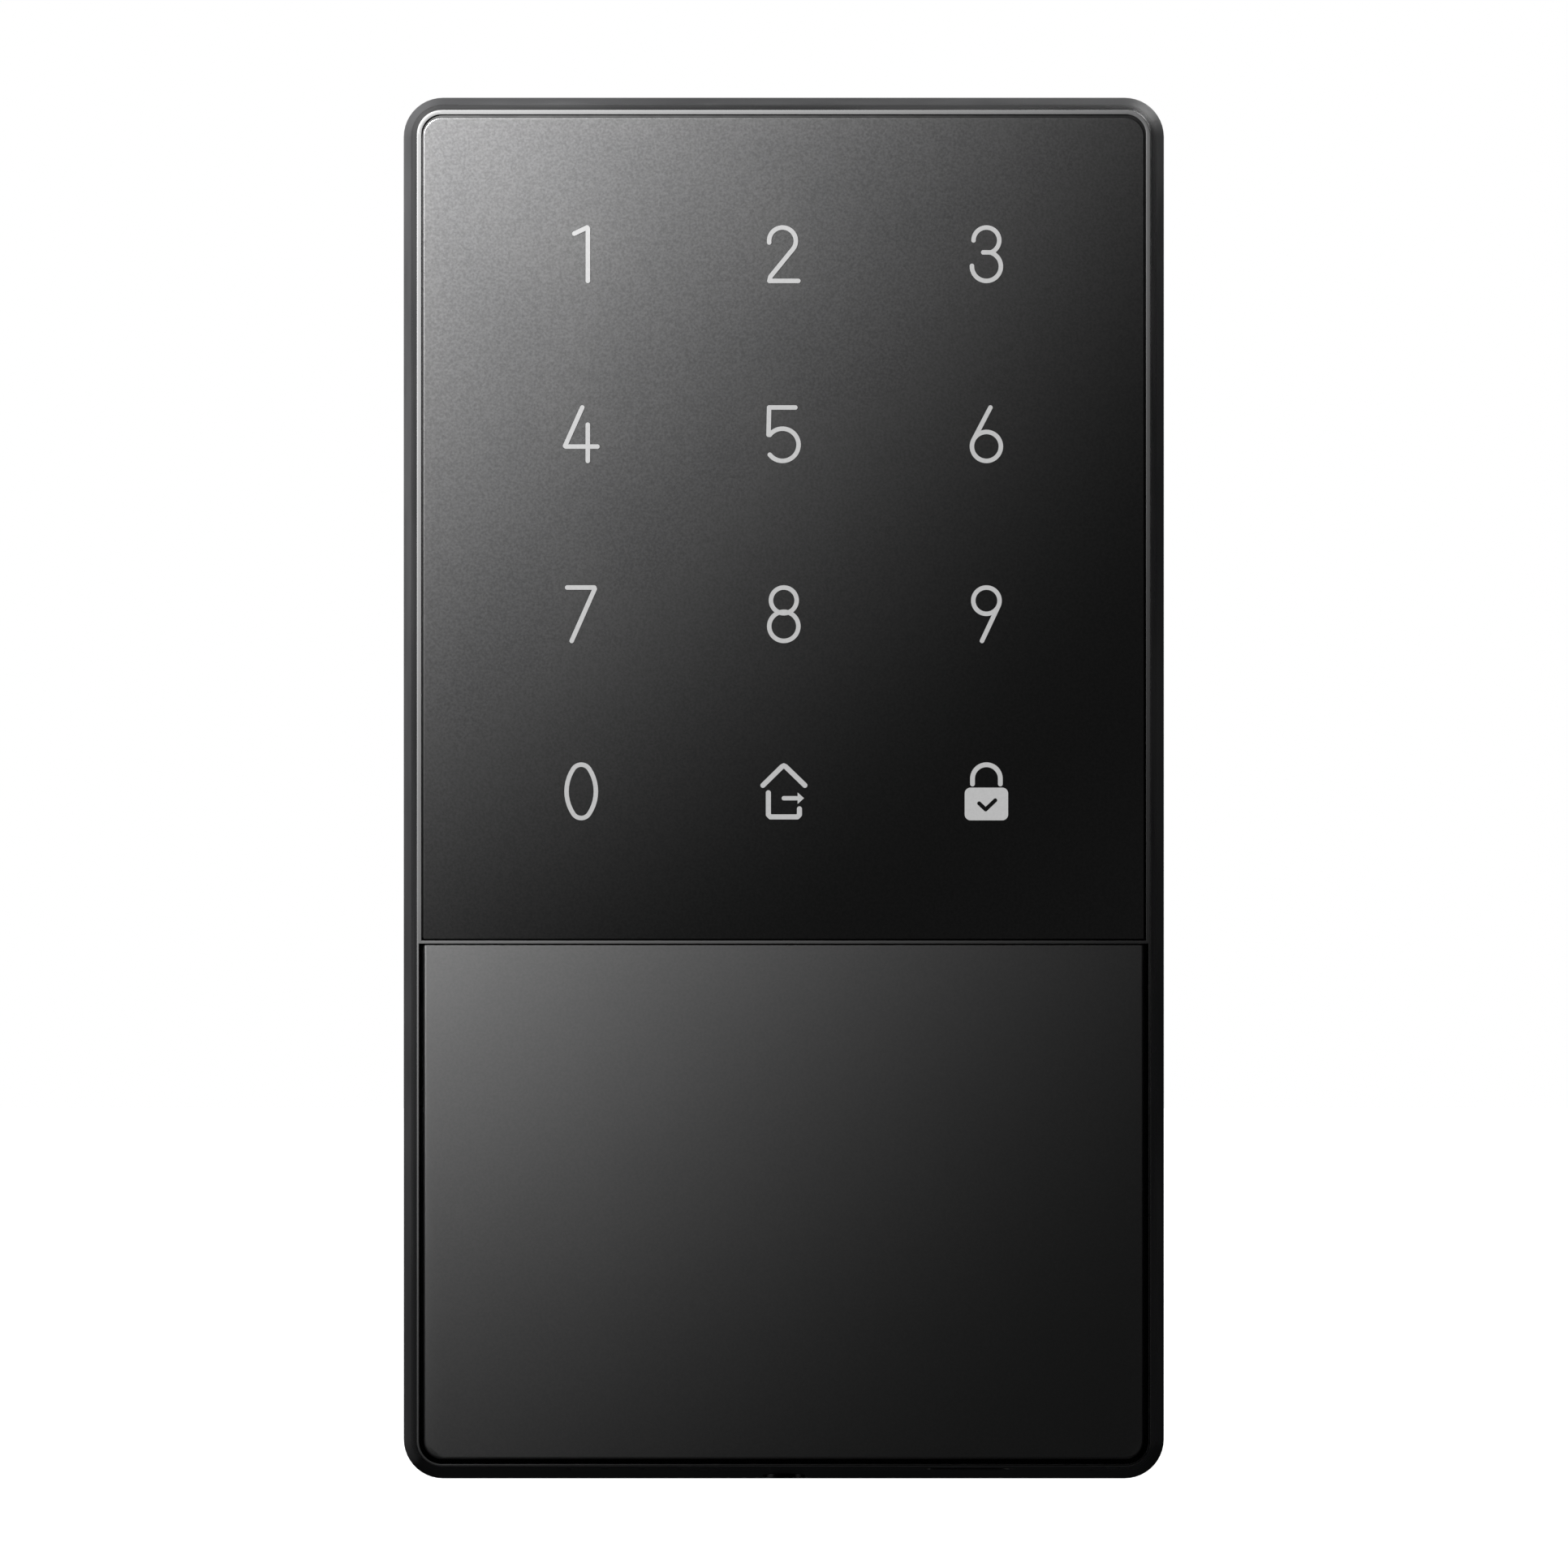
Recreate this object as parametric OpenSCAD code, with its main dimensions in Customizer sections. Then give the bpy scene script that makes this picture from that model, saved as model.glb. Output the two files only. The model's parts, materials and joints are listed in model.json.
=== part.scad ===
// Wall-mounted alarm keypad: touch glass above, hinged battery cover below.
// Frame: X to the right, Y from the front towards the wall, Z up. The wall is at y = 0
// and the origin is the middle of the wall plate's back face.

/* [Body] */
// Width of the base at the wall
body_w = 80; // [79.5:0.1:81]
// Height of the base at the wall
body_h = 145.3; // [145:0.1:147]
// Depth from the wall to the front rim
body_d = 24; // [24:0.25:26]
// Corner radius of the base at the wall
corner_r = 4.13; // [4.05:0.01:4.3]
// How much the rear housing flares out on each side
flare = 0.8; // [0.7:0.05:0.85]
// How much the front frame widens towards the wall on each side
draft = 0.7; // [0.64:0.02:0.72]
// Depth of the rear housing, from the wall to the joint
joint_d = 7; // [7:0.1:7.4]
// Rounding of the outer edge of the front rim
rim_round = 0.12; // [0.08:0.02:0.16]

/* [Touch glass] */
// Thickness of the glass
glass_t = 1.25; // [1.2:0.05:1.25]
// Bevel round the front of the glass
glass_bevel = 0.16; // [0.12:0.02:0.3]
// Thin gap between the glass and the rim, at the sides
glass_gap = 0.2; // [0.16:0.01:0.24]
// Gap above the glass
glass_top_gap = 0.34; // [0.24:0.02:0.4]
// Distance between legend columns
col_pitch = 21.25; // [20:0.01:22]
// Distance between legend rows
row_pitch = 18.88; // [18:0.01:19]
// Height of the middle of the top row of legends
top_row_z = 56; // [55:0.1:57]
// Width of the printed strokes
stroke_w = 0.47; // [0.4:0.01:0.6]

/* [Crossbar] */
// Height of the bar's upper edge
bar_z = -16; // [-16.2:0.02:-15.9]
// Width of the bar between the glass and the cover
bar_w = 0.34; // [0.3:0.02:0.4]

/* [Battery cover] */
// Thickness of the cover's outer skin
cover_skin = 1; // [0.9:0.05:1]
// Rounding of the front edge of the cover
cover_round = 0.28; // [0.14:0.02:0.3]
// Gap between the cover and the rim
cover_gap = 0.49; // [0.45:0.01:0.5]
// Radius of the hinge pins
pin_r = 0.45; // [0.4:0.05:0.45]

/* [Battery bay] */
// Radius of a cell
cell_r = 5.2; // [5:0.05:5.25]
// Length of a cell without its positive cap
cell_l = 43.3; // [42.5:0.1:43.5]
// Distance between cells
cell_pitch = 10.7; // [10.6:0.05:10.8]

/* [Openings] */
// Radius of each sounder hole
sound_hole_r = 0.5; // [0.4:0.05:0.6]
// Distance between sounder holes
sound_pitch = 3.87; // [3.8:0.01:3.9]
// Sideways place of the service socket
usb_x = 19.4; // [19:0.1:19.8]

/* [Wall mounting] */
// Horizontal distance between the wall screw holes
mount_w = 50; // [48:1:52]
// Vertical distance between the wall screw holes
mount_h = 100; // [98:1:102]
// Radius of the wall screw holes
mount_hole_r = 2.2; // [2:0.1:2.3]

/* [Quality] */
// Facets round a full circle
$fn = 64; // [32:8:96]

/* [Hidden] */

eps = 0.01;

// All outlines of the body share these corner centres, so every rim stays parallel.
corner_x = body_w / 2 - corner_r;
corner_z = body_h / 2 - corner_r;
wall_r = corner_r;
joint_r = wall_r - flare;
rim_r = joint_r - draft;
cavity_r = 2.03;

front_y = -body_d;
joint_y = -joint_d;
face_y = front_y + 0.05;

// Small roundings: the rim's inner edges and the bar, the seam and the edge at the wall
inner_round = 0.06;
seam_ease = 0.08;
wall_round = 0.3;
round_steps = 3;

// Seats behind the front rim
glass_seat_r = rim_r - 0.5;
cover_seat_r = rim_r - 0.24;
glass_back_y = face_y + glass_t;
tape_t = 0.2;
tape_sunk = 0.1;
ledge_y = glass_back_y + tape_t;
cover_ledge_y = face_y + cover_skin + 0.15;
ledge_back_y = front_y + 3.3;
ring_x = 34.5;
ring_top_z = 67.2;
ring_bottom_z = -12.2;
window_x = 36.9;
beam_bottom_z = -18.2;
glass_bottom_z = bar_z + 0.13;
cover_top_z = bar_z - bar_w - 0.14;

// Touch stack behind the glass
glass_r = glass_seat_r - glass_gap;
glass_drop = glass_top_gap - glass_gap;
film_t = 0.25;
film_x = 34.2;
guide_y = glass_back_y + film_t + 0.15;
baffle_y = guide_y + 1.2;
board_y = front_y + 6.7;
board_t = 1.6;
board_back_y = board_y + board_t;
board_x = 36.6;
board_top_z = 68.9;
board_bottom_z = -11.9;
screw_col_x = 34.6;
housing_post_z = [63.5, 27, -9];
board_post_z = [45, 9];
low_post_z = -61.5;
row_z = [for (i = [0:3]) top_row_z - i * row_pitch + (i == 3 ? 0.3 : 0)];
col_x = [for (i = [-1:1]) i * col_pitch];

// Cover hinge
cover_r = cover_seat_r - cover_gap;
cover_bottom_z = -corner_z - cover_r;
cover_back_y = face_y + cover_skin;
hinge_y = face_y + 1.9;
hinge_z = cover_bottom_z + 3;
hinge_clear = 0.03;
rib_back_y = cover_back_y + 1.1;

// Battery bay
deck_y = front_y + 2.55;
deck_t = 1.25;
deck_x = 36.4;
deck_top_z = -18.5;
deck_bottom_z = -65.5;
cell_y = deck_y + 0.25 + cell_r;
cell_z = [for (i = [0:3]) -25.1 - i * cell_pitch];
bay_x = 25.2;
bay_top_z = cell_z[0] + cell_r + 0.3;
bay_bottom_z = cell_z[3] - cell_r - 0.3;
bay_floor_y = cell_y + cell_r + 0.2;
bay_wall = 1.2;
cap_h = 1;
plate_t = 0.4;
apron_y = front_y + 5.6;
apron_t = 0.7;
tray_post_z = [-30, -56];
magnet_x = 33;
magnet_z = -22.6;

// Service socket, sounder and pairing button
port_y = front_y + 9.8;
port_t = 1.2;
usb_w = 8.94;
usb_h = 3.26;
usb_y = port_y - usb_h / 2;
bottom_in_z = -corner_z - cavity_r;
sound_x = -14.83;
button_x = 30.5;
button_z = -43;

// Rear housing and wall plate
recess_r = 1.4;
floor_front_y = -5.2;
floor_back_y = -3.6;
plate_y = -3;
plate_r = 1;
hook_x = 22;
hook_z = [46, -38];
lock_y = -2.9;
tamper_x = 0;
tamper_z = 4;

// ---------- helpers ----------

module box(low, high) {
    translate(low) cube(high - low);
}

// Cylinders along each axis, from one station to another
module rod_x(y, z, r, x0, x1) {
    translate([x0, y, z]) rotate([0, 90, 0]) cylinder(h = x1 - x0, r = r);
}

module rod_y(x, z, r, y0, y1) {
    translate([x, y1, z]) rotate([90, 0, 0]) cylinder(h = y1 - y0, r = r);
}

module rod_z(x, y, r, z0, z1) {
    translate([x, y, z0]) cylinder(h = z1 - z0, r = r);
}

// A drawing in X and Z, made solid from y0 (front) to y1 (back)
module along_y(y0, y1) {
    translate([0, y1, 0]) rotate([90, 0, 0]) linear_extrude(y1 - y0) children();
}

// A drawing in Y and Z, made solid from x0 to x1
module along_x(x0, x1) {
    translate([x0, 0, 0]) rotate([90, 0, 90]) linear_extrude(x1 - x0) children();
}

// Rounded block on the shared corner centres, its corner radius going from r0 to r1
module body_block(y0, r0, y1, r1) {
    for (sx = [-1, 1], sz = [-1, 1])
        translate([sx * corner_x, y1, sz * corner_z])
            rotate([90, 0, 0]) cylinder(h = y1 - y0, r1 = r1, r2 = r0);
    translate([0, 0, -corner_z])
        linear_extrude(2 * corner_z)
            polygon([
                [-corner_x - r0, y0], [corner_x + r0, y0],
                [corner_x + r1, y1], [-corner_x - r1, y1]
            ]);
    along_x(-corner_x, corner_x)
        polygon([
            [y0, -corner_z - r0], [y0, corner_z + r0],
            [y1, corner_z + r1], [y1, -corner_z - r1]
        ]);
}

// Body block over a rounded edge of radius e that starts at the front, y = y0, and ends at
// corner radius r; side is 1 for an edge that widens and -1 for the mouth of a pocket
module rounded_front(y0, r, e, side) {
    for (i = [0:round_steps - 1])
        rounded_slice(y0 + e, r - side * e, e, side, 90 * i / round_steps, 90 * (i + 1) / round_steps);
}

// The same for an edge that ends at the back, y = y1
module rounded_back(y1, r, e) {
    for (i = [0:round_steps - 1])
        rounded_slice(y1 - e, r - e, e, 1, 90 + 90 * i / round_steps, 90 + 90 * (i + 1) / round_steps);
}

// One step of a rounded edge, between two angles of the arc of radius e about (y, r)
module rounded_slice(y, r, e, side, a0, a1) {
    body_block(snap(y - e * cos(a0)), snap(r + side * e * sin(a0)), snap(y - e * cos(a1)), snap(r + side * e * sin(a1)));
}

// Whole thousandths of a millimetre, so that neighbouring steps meet exactly
function snap(v) = round(v * 1000) / 1000;

// Flat rounded outline in X and Z
module outline(r) {
    square([2 * (corner_x + r), 2 * corner_z], center = true);
    square([2 * corner_x, 2 * (corner_z + r)], center = true);
    for (sx = [-1, 1], sz = [-1, 1]) translate([sx * corner_x, sz * corner_z]) circle(r);
}

module rounded(w, h, r) {
    square([w - 2 * r, h], center = true);
    square([w, h - 2 * r], center = true);
    for (sx = [-1, 1], sz = [-1, 1])
        translate([sx * (w / 2 - r), sz * (h / 2 - r)]) circle(r);
}

// Flat stadium: a slot of full width w and height h
module stadium(w, h) {
    square([w - h, h], center = true);
    for (s = [-1, 1]) translate([s * (w - h) / 2, 0]) circle(h / 2);
}

// The part of a body-wide shape above or below a height
module above(z) {
    intersection() {
        children();
        box([-60, -60, z], [60, 20, 100]);
    }
}

module below(z) {
    intersection() {
        children();
        box([-60, -60, -100], [60, 20, z]);
    }
}

module at_posts(heights) {
    for (s = [-1, 1], z = heights) translate([s * screw_col_x, 0, z]) children();
}

module at_legends() {
    for (z = row_z, x = col_x) translate([x, 0, z]) children();
}

// A pan-head screw along Y: the head's underside at y, the tip at tip_y
module screw_y(y, head_r, head_h, shank_r, tip_y) {
    dir = tip_y < y ? -1 : 1;
    difference() {
        rod_y(0, 0, head_r, min(y, y - dir * head_h), max(y, y - dir * head_h));
        cross_recess(y - dir * head_h, head_r);
    }
    rod_y(0, 0, shank_r, min(y - dir * eps, tip_y), max(y - dir * eps, tip_y));
}

// Cross-shaped driver recess centred on the face at y
module cross_recess(y, head_r) {
    arm = head_r * 0.6;
    half = head_r * 0.16;
    deep = head_r * 0.35;
    box([-arm, y - deep, -half], [arm, y + deep, half]);
    box([-half, y - deep, -arm], [half, y + deep, arm]);
}

// Round wire swept along a smooth curve through a list of points; up is never along the wire
wire_sides = 8;
wire_steps = 4;
function unit(v) = v / norm(v);
function spline_point(p, i, t) =
    let (a = p[max(i - 1, 0)], b = p[i], c = p[i + 1], d = p[min(i + 2, len(p) - 1)])
    (2 * b + (c - a) * t + (2 * a - 5 * b + 4 * c - d) * t * t + (3 * b - a - 3 * c + d) * t * t * t) / 2;
function spline(p) =
    [for (i = [0:len(p) - 2], k = [0:wire_steps - 1]) spline_point(p, i, k / wire_steps), p[len(p) - 1]];
function heading(p, i) = unit(p[min(i + 1, len(p) - 1)] - p[max(i - 1, 0)]);
function wire_ring(p, i, r, up) =
    let (t = heading(p, i), u = unit(cross(up, t)), v = cross(t, u))
    [for (k = [0:wire_sides - 1]) p[i] + r * (cos(360 * k / wire_sides) * u + sin(360 * k / wire_sides) * v)];

module wire(points, r, up) {
    line = spline(points);
    rings = [for (i = [0:len(line) - 1]) each wire_ring(line, i, r, up)];
    polyhedron(rings, tube_faces(wire_sides, len(line)));
}

// Faces of a closed tube made of rings of points
function tube_faces(sides, count) =
    concat(
        [[for (k = [0:sides - 1]) k]],
        [for (i = [0:count - 2], k = [0:sides - 1])
            let (k2 = (k + 1) % sides, a = i * sides, b = a + sides)
            [a + k, b + k, b + k2, a + k2]],
        [[for (k = [sides - 1:-1:0]) (count - 1) * sides + k]]
    );

// Coil spring along +Z: radius r0 at z = 0 to r1 at z = h
coil_sides = 6;
coil_steps = 12;
function coil_ring(r0, r1, h, turns, wire_r, i) =
    let (n = turns * coil_steps, t = i / n, a = 360 * turns * t, r = r0 + (r1 - r0) * t)
    let (z = wire_r + (h - 2 * wire_r) * t)
    [for (k = [0:coil_sides - 1])
        let (b = 360 * k / coil_sides, q = r + wire_r * cos(b))
        [q * cos(a), q * sin(a), z + wire_r * sin(b)]];

module coil(r0, r1, h, turns, wire_r) {
    n = turns * coil_steps;
    rings = [for (i = [0:n]) each coil_ring(r0, r1, h, turns, wire_r, i)];
    polyhedron(rings, tube_faces(coil_sides, n + 1));
}

// ---------- legend strokes, drawn flat and centred on the legend ----------

module dot(p, w) {
    translate(p) circle(w / 2, $fn = 24);
}

module stroke(p, q, w) {
    d = q - p;
    translate((p + q) / 2) rotate(atan2(d.y, d.x)) square([norm(d), w], center = true);
    dot(p, w);
    dot(q, w);
}

module path(points, w) {
    for (i = [0:len(points) - 2]) stroke(points[i], points[i + 1], w);
}

module ring(c, r, w) {
    translate(c) difference() {
        circle(r + w / 2);
        circle(r - w / 2);
    }
}

// Arc of radius r about c, counter-clockwise from a0 to a1 degrees
module arc(c, r, a0, a1, w) {
    span = a1 - a0;
    far = 3 * r;
    translate(c) intersection() {
        difference() {
            circle(r + w / 2);
            circle(r - w / 2);
        }
        polygon(concat([[0, 0]], [for (i = [0:6]) far * [cos(a0 + span * i / 6), sin(a0 + span * i / 6)]]));
    }
    dot(c + r * [cos(a0), sin(a0)], w);
    dot(c + r * [cos(a1), sin(a1)], w);
}

// Where the tangent from point p touches the circle (c, r); side is 1 or -1
function touch_point(p, c, r, side) =
    let (d = p - c, a = atan2(d.y, d.x) + side * acos(r / norm(d)))
    c + r * [cos(a), sin(a)];

cap_y = 2.8;

module digit(n) {
    w = stroke_w;
    if (n == 1) path([[-0.72, 2.16], [0.62, cap_y], [0.7, 2.68], [0.7, -cap_y]], w);
    if (n == 2) {
        arc([-0.14, 1.4], 1.4, -38, 187, w);
        path([[0.96, 0.54], [-1.4, -2.35], [-1.51, -cap_y], [1.52, -cap_y]], w);
    }
    if (n == 3) {
        arc([0, 1.45], 1.35, -72, 180, w);
        arc([0, -1.28], 1.52, -182, 76, w);
        stroke([-0.33, 0.19], [0.4, 0.19], w);
    }
    if (n == 4) {
        path([[0.11, cap_y], [-1.69, -1.22], [-1.6, -1.3], [1.7, -1.3]], w);
        stroke([0.69, 1], [0.69, -cap_y], w);
    }
    if (n == 5) {
        path([[1.21, cap_y], [-1.54, cap_y], [-1.6, -0.06]], w);
        arc([-0.14, -1.11], 1.69, -142, 142, w);
    }
    if (n == 6) {
        ring([0, -1.28], 1.52, w);
        stroke([0.42, cap_y], touch_point([0.42, cap_y], [0, -1.28], 1.52, 1), w);
    }
    if (n == 7) path([[-1.47, cap_y], [1.36, cap_y], [1.42, 2.66], [-1, -cap_y]], w);
    if (n == 8) {
        ring([0, 1.45], 1.35, w);
        ring([0, -1.27], 1.53, w);
    }
    if (n == 9) {
        ring([0, 1.42], 1.38, w);
        stroke([-0.46, -cap_y], touch_point([-0.46, -cap_y], [0, 1.42], 1.38, 1), w);
    }
    if (n == 0) oval(1.54, cap_y, 1, w);
}

// Upright oval ring of half-width b and half-height a, its ends of radius end_r
module oval(b, a, end_r, w) {
    up = a - end_r;
    side_r = (up * up + b * b - end_r * end_r) / (2 * (b - end_r));
    reach = side_r - b;
    turn = atan2(up, reach);
    for (s = [0, 180]) rotate(s) {
        arc([0, up], end_r, turn, 180 - turn, w);
        arc([-reach, 0], side_r, -turn, turn, w);
    }
}

// Open house with an arrow leaving it
module house_symbol() {
    w = 0.53;
    path([[-2.19, 0.63], [-0.2, 2.58], [0, 2.68], [0.2, 2.58], [2.21, 0.63]], w);
    path([[-1.62, -0.15], [-1.62, -2.45], [-1.4, -2.68], [1.42, -2.68], [1.64, -2.45], [1.64, -1.84]], w);
    translate([0, -0.72]) {
        stroke([0, 0], [1.6, 0], 0.45);
        polygon([[1.45, 0.6], [2.12, 0], [1.45, -0.6]]);
    }
}

// Padlock with a tick cut out of its body
module lock_symbol() {
    w = 0.5;
    difference() {
        translate([0, -1.325]) rounded(4.56, 3.43, 0.62);
        path([[-0.76, -1.26], [-0.08, -1.9], [0.93, -0.94]], 0.42);
    }
    arc([0, 1.33], 1.46, 0, 180, w);
    for (s = [-1, 1]) stroke([s * 1.46, 1.33], [s * 1.46, 0.77], w);
}

// ---------- outer shells ----------

module front_frame() {
    color([0.07, 0.07, 0.075]) difference() {
        union() {
            difference() {
                union() {
                    rounded_front(front_y, rim_r, rim_round, 1);
                    body_block(front_y + rim_round, rim_r, joint_y - seam_ease, joint_r);
                    body_block(joint_y - seam_ease, joint_r, joint_y, joint_r - seam_ease);
                }
                above(bar_z) {
                    along_y(front_y - 1, ledge_y) outline(glass_seat_r);
                    rounded_front(front_y, glass_seat_r, inner_round, -1);
                }
                below(bar_z - bar_w) {
                    along_y(front_y - 1, cover_ledge_y) outline(cover_seat_r);
                    rounded_front(front_y, cover_seat_r, inner_round, -1);
                }
                bar_edge(bar_z, 1, glass_seat_r);
                bar_edge(bar_z - bar_w, -1, cover_seat_r);
                along_y(ledge_back_y, joint_y + 1) outline(cavity_r);
                below(hinge_z) along_y(cover_ledge_y - eps, apron_y) outline(cover_seat_r);
                box([-ring_x, front_y - 1, ring_bottom_z], [ring_x, joint_y, ring_top_z]);
                box([-window_x, front_y - 1, hinge_z - 1], [window_x, ledge_back_y + 1, beam_bottom_z]);
            }
            hinge_eyes();
            at_posts(housing_post_z) rod_y(0, 0, 2.6, ledge_back_y - eps, joint_y - 1);
            at_posts(board_post_z) rod_y(0, 0, 2.3, ledge_back_y - eps, board_y);
            at_posts(tray_post_z) rod_y(0.2, 0, 2.3, deck_y + deck_t, deck_y + 8);
            at_posts([low_post_z]) rod_y(0, 0, 2.6, deck_y + deck_t, joint_y - 1);
            post_webs();
        }
        for (s = [-1, 1])
            rod_x(hinge_y, hinge_z, pin_r + hinge_clear, s > 0 ? window_x - 1 : -window_x - 1.2, s > 0 ? window_x + 1.2 : -window_x + 1);
        at_posts(concat(housing_post_z, [low_post_z])) rod_y(0, 0, 1, joint_y - 9, joint_y);
        at_posts(board_post_z) rod_y(0, 0, 0.9, board_y - 3, board_y + 1);
        for (s = [-1, 1], z = tray_post_z) rod_y(s * screw_col_x, z, 0.95, deck_y, deck_y + 6);
        along_y(joint_y - 0.4, joint_y + 1) seal_outline(0);
        translate([usb_x, usb_y, -body_h / 2]) linear_extrude(5) stadium(usb_w + 0.36, usb_h + 0.36);
        for (i = [-2:2]) rod_z(sound_x + i * sound_pitch, usb_y, sound_hole_r, -body_h / 2, bottom_in_z + 1);
    }
}

// What the rounding takes off the bar's edge at height z; up is 1 for the upper edge
module bar_edge(z, up, seat_r) {
    arc_points = [for (i = [0:round_steps])
        let (a = 90 * i / round_steps)
        [snap(front_y + inner_round * (1 - cos(a))), snap(z - up * inner_round * (1 - sin(a)))]];
    along_x(-corner_x - seat_r, corner_x + seat_r)
        polygon(concat(
            [[front_y - 1, z - up * inner_round]], arc_points,
            [[front_y + inner_round, z + up * inner_round], [front_y - 1, z + up * inner_round]]
        ));
}

// Round ends of the side ledges, which hold the cover's pins
module hinge_eyes() {
    for (s = [-1, 1])
        rod_x(hinge_y, hinge_z, hinge_y - cover_ledge_y, s > 0 ? window_x : -38.4, s > 0 ? 38.4 : -window_x);
}

// Webs that join the lower posts to the side walls
module post_webs() {
    for (s = [-1, 1], z = concat(tray_post_z, [low_post_z])) {
        inner = s * (screw_col_x + 1.5);
        outer = s * 38.2;
        box([min(inner, outer), deck_y + deck_t, z - 1], [max(inner, outer), joint_y - 2.6, z + 1]);
    }
}

module seal_outline(slack) {
    difference() {
        outline(joint_r - 0.4 - slack);
        outline(joint_r - 1 + slack);
    }
}

module housing_seal() {
    color([0.25, 0.25, 0.26]) along_y(joint_y - 0.38, joint_y + 0.38) seal_outline(0.02);
}

module rear_housing() {
    skirt_y = -0.3;
    color([0.06, 0.06, 0.065]) difference() {
        union() {
            difference() {
                union() {
                    body_block(joint_y, joint_r - seam_ease, joint_y + seam_ease, joint_r);
                    body_block(joint_y + seam_ease, joint_r, skirt_y - wall_round, wall_r);
                    rounded_back(skirt_y, wall_r, wall_round);
                }
                along_y(floor_back_y, 1) outline(recess_r + 0.1);
                along_y(joint_y - 1, floor_front_y) outline(1.3);
            }
            along_y(joint_y - 2.4, floor_front_y) difference() {
                outline(1.88);
                outline(0.7);
            }
            at_posts(concat(housing_post_z, [low_post_z])) rod_y(0, 0, 3.2, joint_y - 1, floor_back_y - eps);
            lock_pocket_walls();
        }
        at_posts(concat(housing_post_z, [low_post_z])) {
            rod_y(0, 0, 1.25, joint_y - 3, 1);
            rod_y(0, 0, 2.3, joint_y + 1.3, 1);
            rod_y(0, 0, 2.8, joint_y - 3, joint_y - 1);
        }
        for (s = [-1, 1], z = hook_z)
            box([s * hook_x - 3.4, floor_front_y - 1, z - 6.6], [s * hook_x + 3.4, floor_back_y + 1, z + 0.1]);
        rod_y(tamper_x, tamper_z, 2.1, floor_front_y - 1, floor_back_y + 1);
        box([-6, joint_y + 1.2, -70.2], [6, floor_back_y + eps, -62]);
        along_y(joint_y - 1, joint_y + 0.4) seal_outline(0);
        rod_z(0, lock_y, 1.3, -body_h / 2 - 1, -69);
        rod_z(0, lock_y, 2.25, -body_h / 2 - 1, -body_h / 2 + 1.3);
    }
}

// Raised walls of the pocket that takes the plate's locking lug
module lock_pocket_walls() {
    box([-7.4, joint_y - 0.4, -70.3], [7.4, floor_back_y - eps, -60.6]);
}

module wall_plate() {
    color([0.16, 0.16, 0.17]) difference() {
        union() {
            along_y(plate_y, 0) outline(plate_r);
            for (s = [-1, 1], z = hook_z) translate([s * hook_x, 0, z]) hook();
            box([-5, lock_y - 2.5, -69.3], [5, plate_y + eps, -63]);
        }
        for (sx = [-1, 1], sz = [-1, 1]) translate([sx * mount_w / 2, 0, sz * mount_h / 2]) {
            rod_y(0, 0, mount_hole_r, plate_y - 1, 1);
            rod_y(0, 0, 4.4, plate_y - 1, plate_y + 1.6);
        }
        for (z = [26, -24]) translate([0, 0, z]) along_y(plate_y - 1, 1) rounded(30, 26, 4);
        rod_z(0, lock_y, 1.1, -80, -64.2);
    }
}

// Upward hook that carries the unit
module hook() {
    box([-3, -6.7, -2.4], [3, plate_y + eps, 0]);
    box([-3, -6.7, -eps], [3, -5.5, 3]);
}

module locking_screw() {
    head_z = -body_h / 2 + 0.15;
    color([0.62, 0.62, 0.63]) difference() {
        union() {
            rod_z(0, lock_y, 2.1, head_z, head_z + 1.1);
            rod_z(0, lock_y, 1.1, head_z + 1, -65);
        }
        translate([0, lock_y, head_z - 1]) cylinder(h = 1.7, r = 0.9, $fn = 6);
    }
}

module housing_screws() {
    color([0.55, 0.55, 0.56])
        at_posts(concat(housing_post_z, [low_post_z])) screw_y(joint_y + 1.3, 2.1, 1.6, 1, joint_y - 8);
}

// ---------- touch panel ----------

module keypad_glass() {
    color([0.13, 0.13, 0.14, 0.9]) above(glass_bottom_z) translate([0, 0, -glass_drop]) {
        body_block(face_y, glass_r - glass_bevel, face_y + glass_bevel, glass_r);
        body_block(face_y + glass_bevel, glass_r, glass_back_y, glass_r);
    }
}

// Adhesive frame behind the glass, with a thin raised edge that closes the gap beside it
module glass_tape() {
    slack = 0.01;
    color([0.1, 0.1, 0.1]) above(glass_bottom_z + 0.2) difference() {
        along_y(face_y + tape_sunk, ledge_y) outline(glass_seat_r - slack);
        translate([0, 0, -glass_drop]) along_y(front_y, glass_back_y) outline(glass_r + slack);
        box([-ring_x, front_y, ring_bottom_z], [ring_x, ledge_y + 1, ring_top_z]);
    }
}

print_t = 0.04;

module digit_legends() {
    color([0.78, 0.78, 0.78]) along_y(face_y - print_t, face_y) {
        for (n = [1:9]) translate([col_x[(n - 1) % 3], row_z[floor((n - 1) / 3)]]) digit(n);
        translate([col_x[0], row_z[3]]) digit(0);
    }
}

module symbol_legends() {
    color([0.74, 0.74, 0.74]) along_y(face_y - print_t, face_y) {
        translate([col_x[1], row_z[3]]) house_symbol();
        translate([col_x[2], row_z[3]]) lock_symbol();
    }
}

module touch_film() {
    color([0.75, 0.6, 0.3, 0.8])
        box([-film_x, glass_back_y, ring_bottom_z + 0.3], [film_x, glass_back_y + film_t, ring_top_z - 0.3]);
}

module touch_electrodes() {
    color([0.8, 0.5, 0.25]) at_legends()
        along_y(glass_back_y + film_t, glass_back_y + film_t + 0.1) difference() {
            rounded(15, 13, 3);
            rounded(12, 10, 2);
        }
}

module light_guide() {
    color([0.85, 0.88, 0.9, 0.6])
        box([-film_x, guide_y, ring_bottom_z + 0.3], [film_x, baffle_y, ring_top_z - 0.3]);
}

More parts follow.
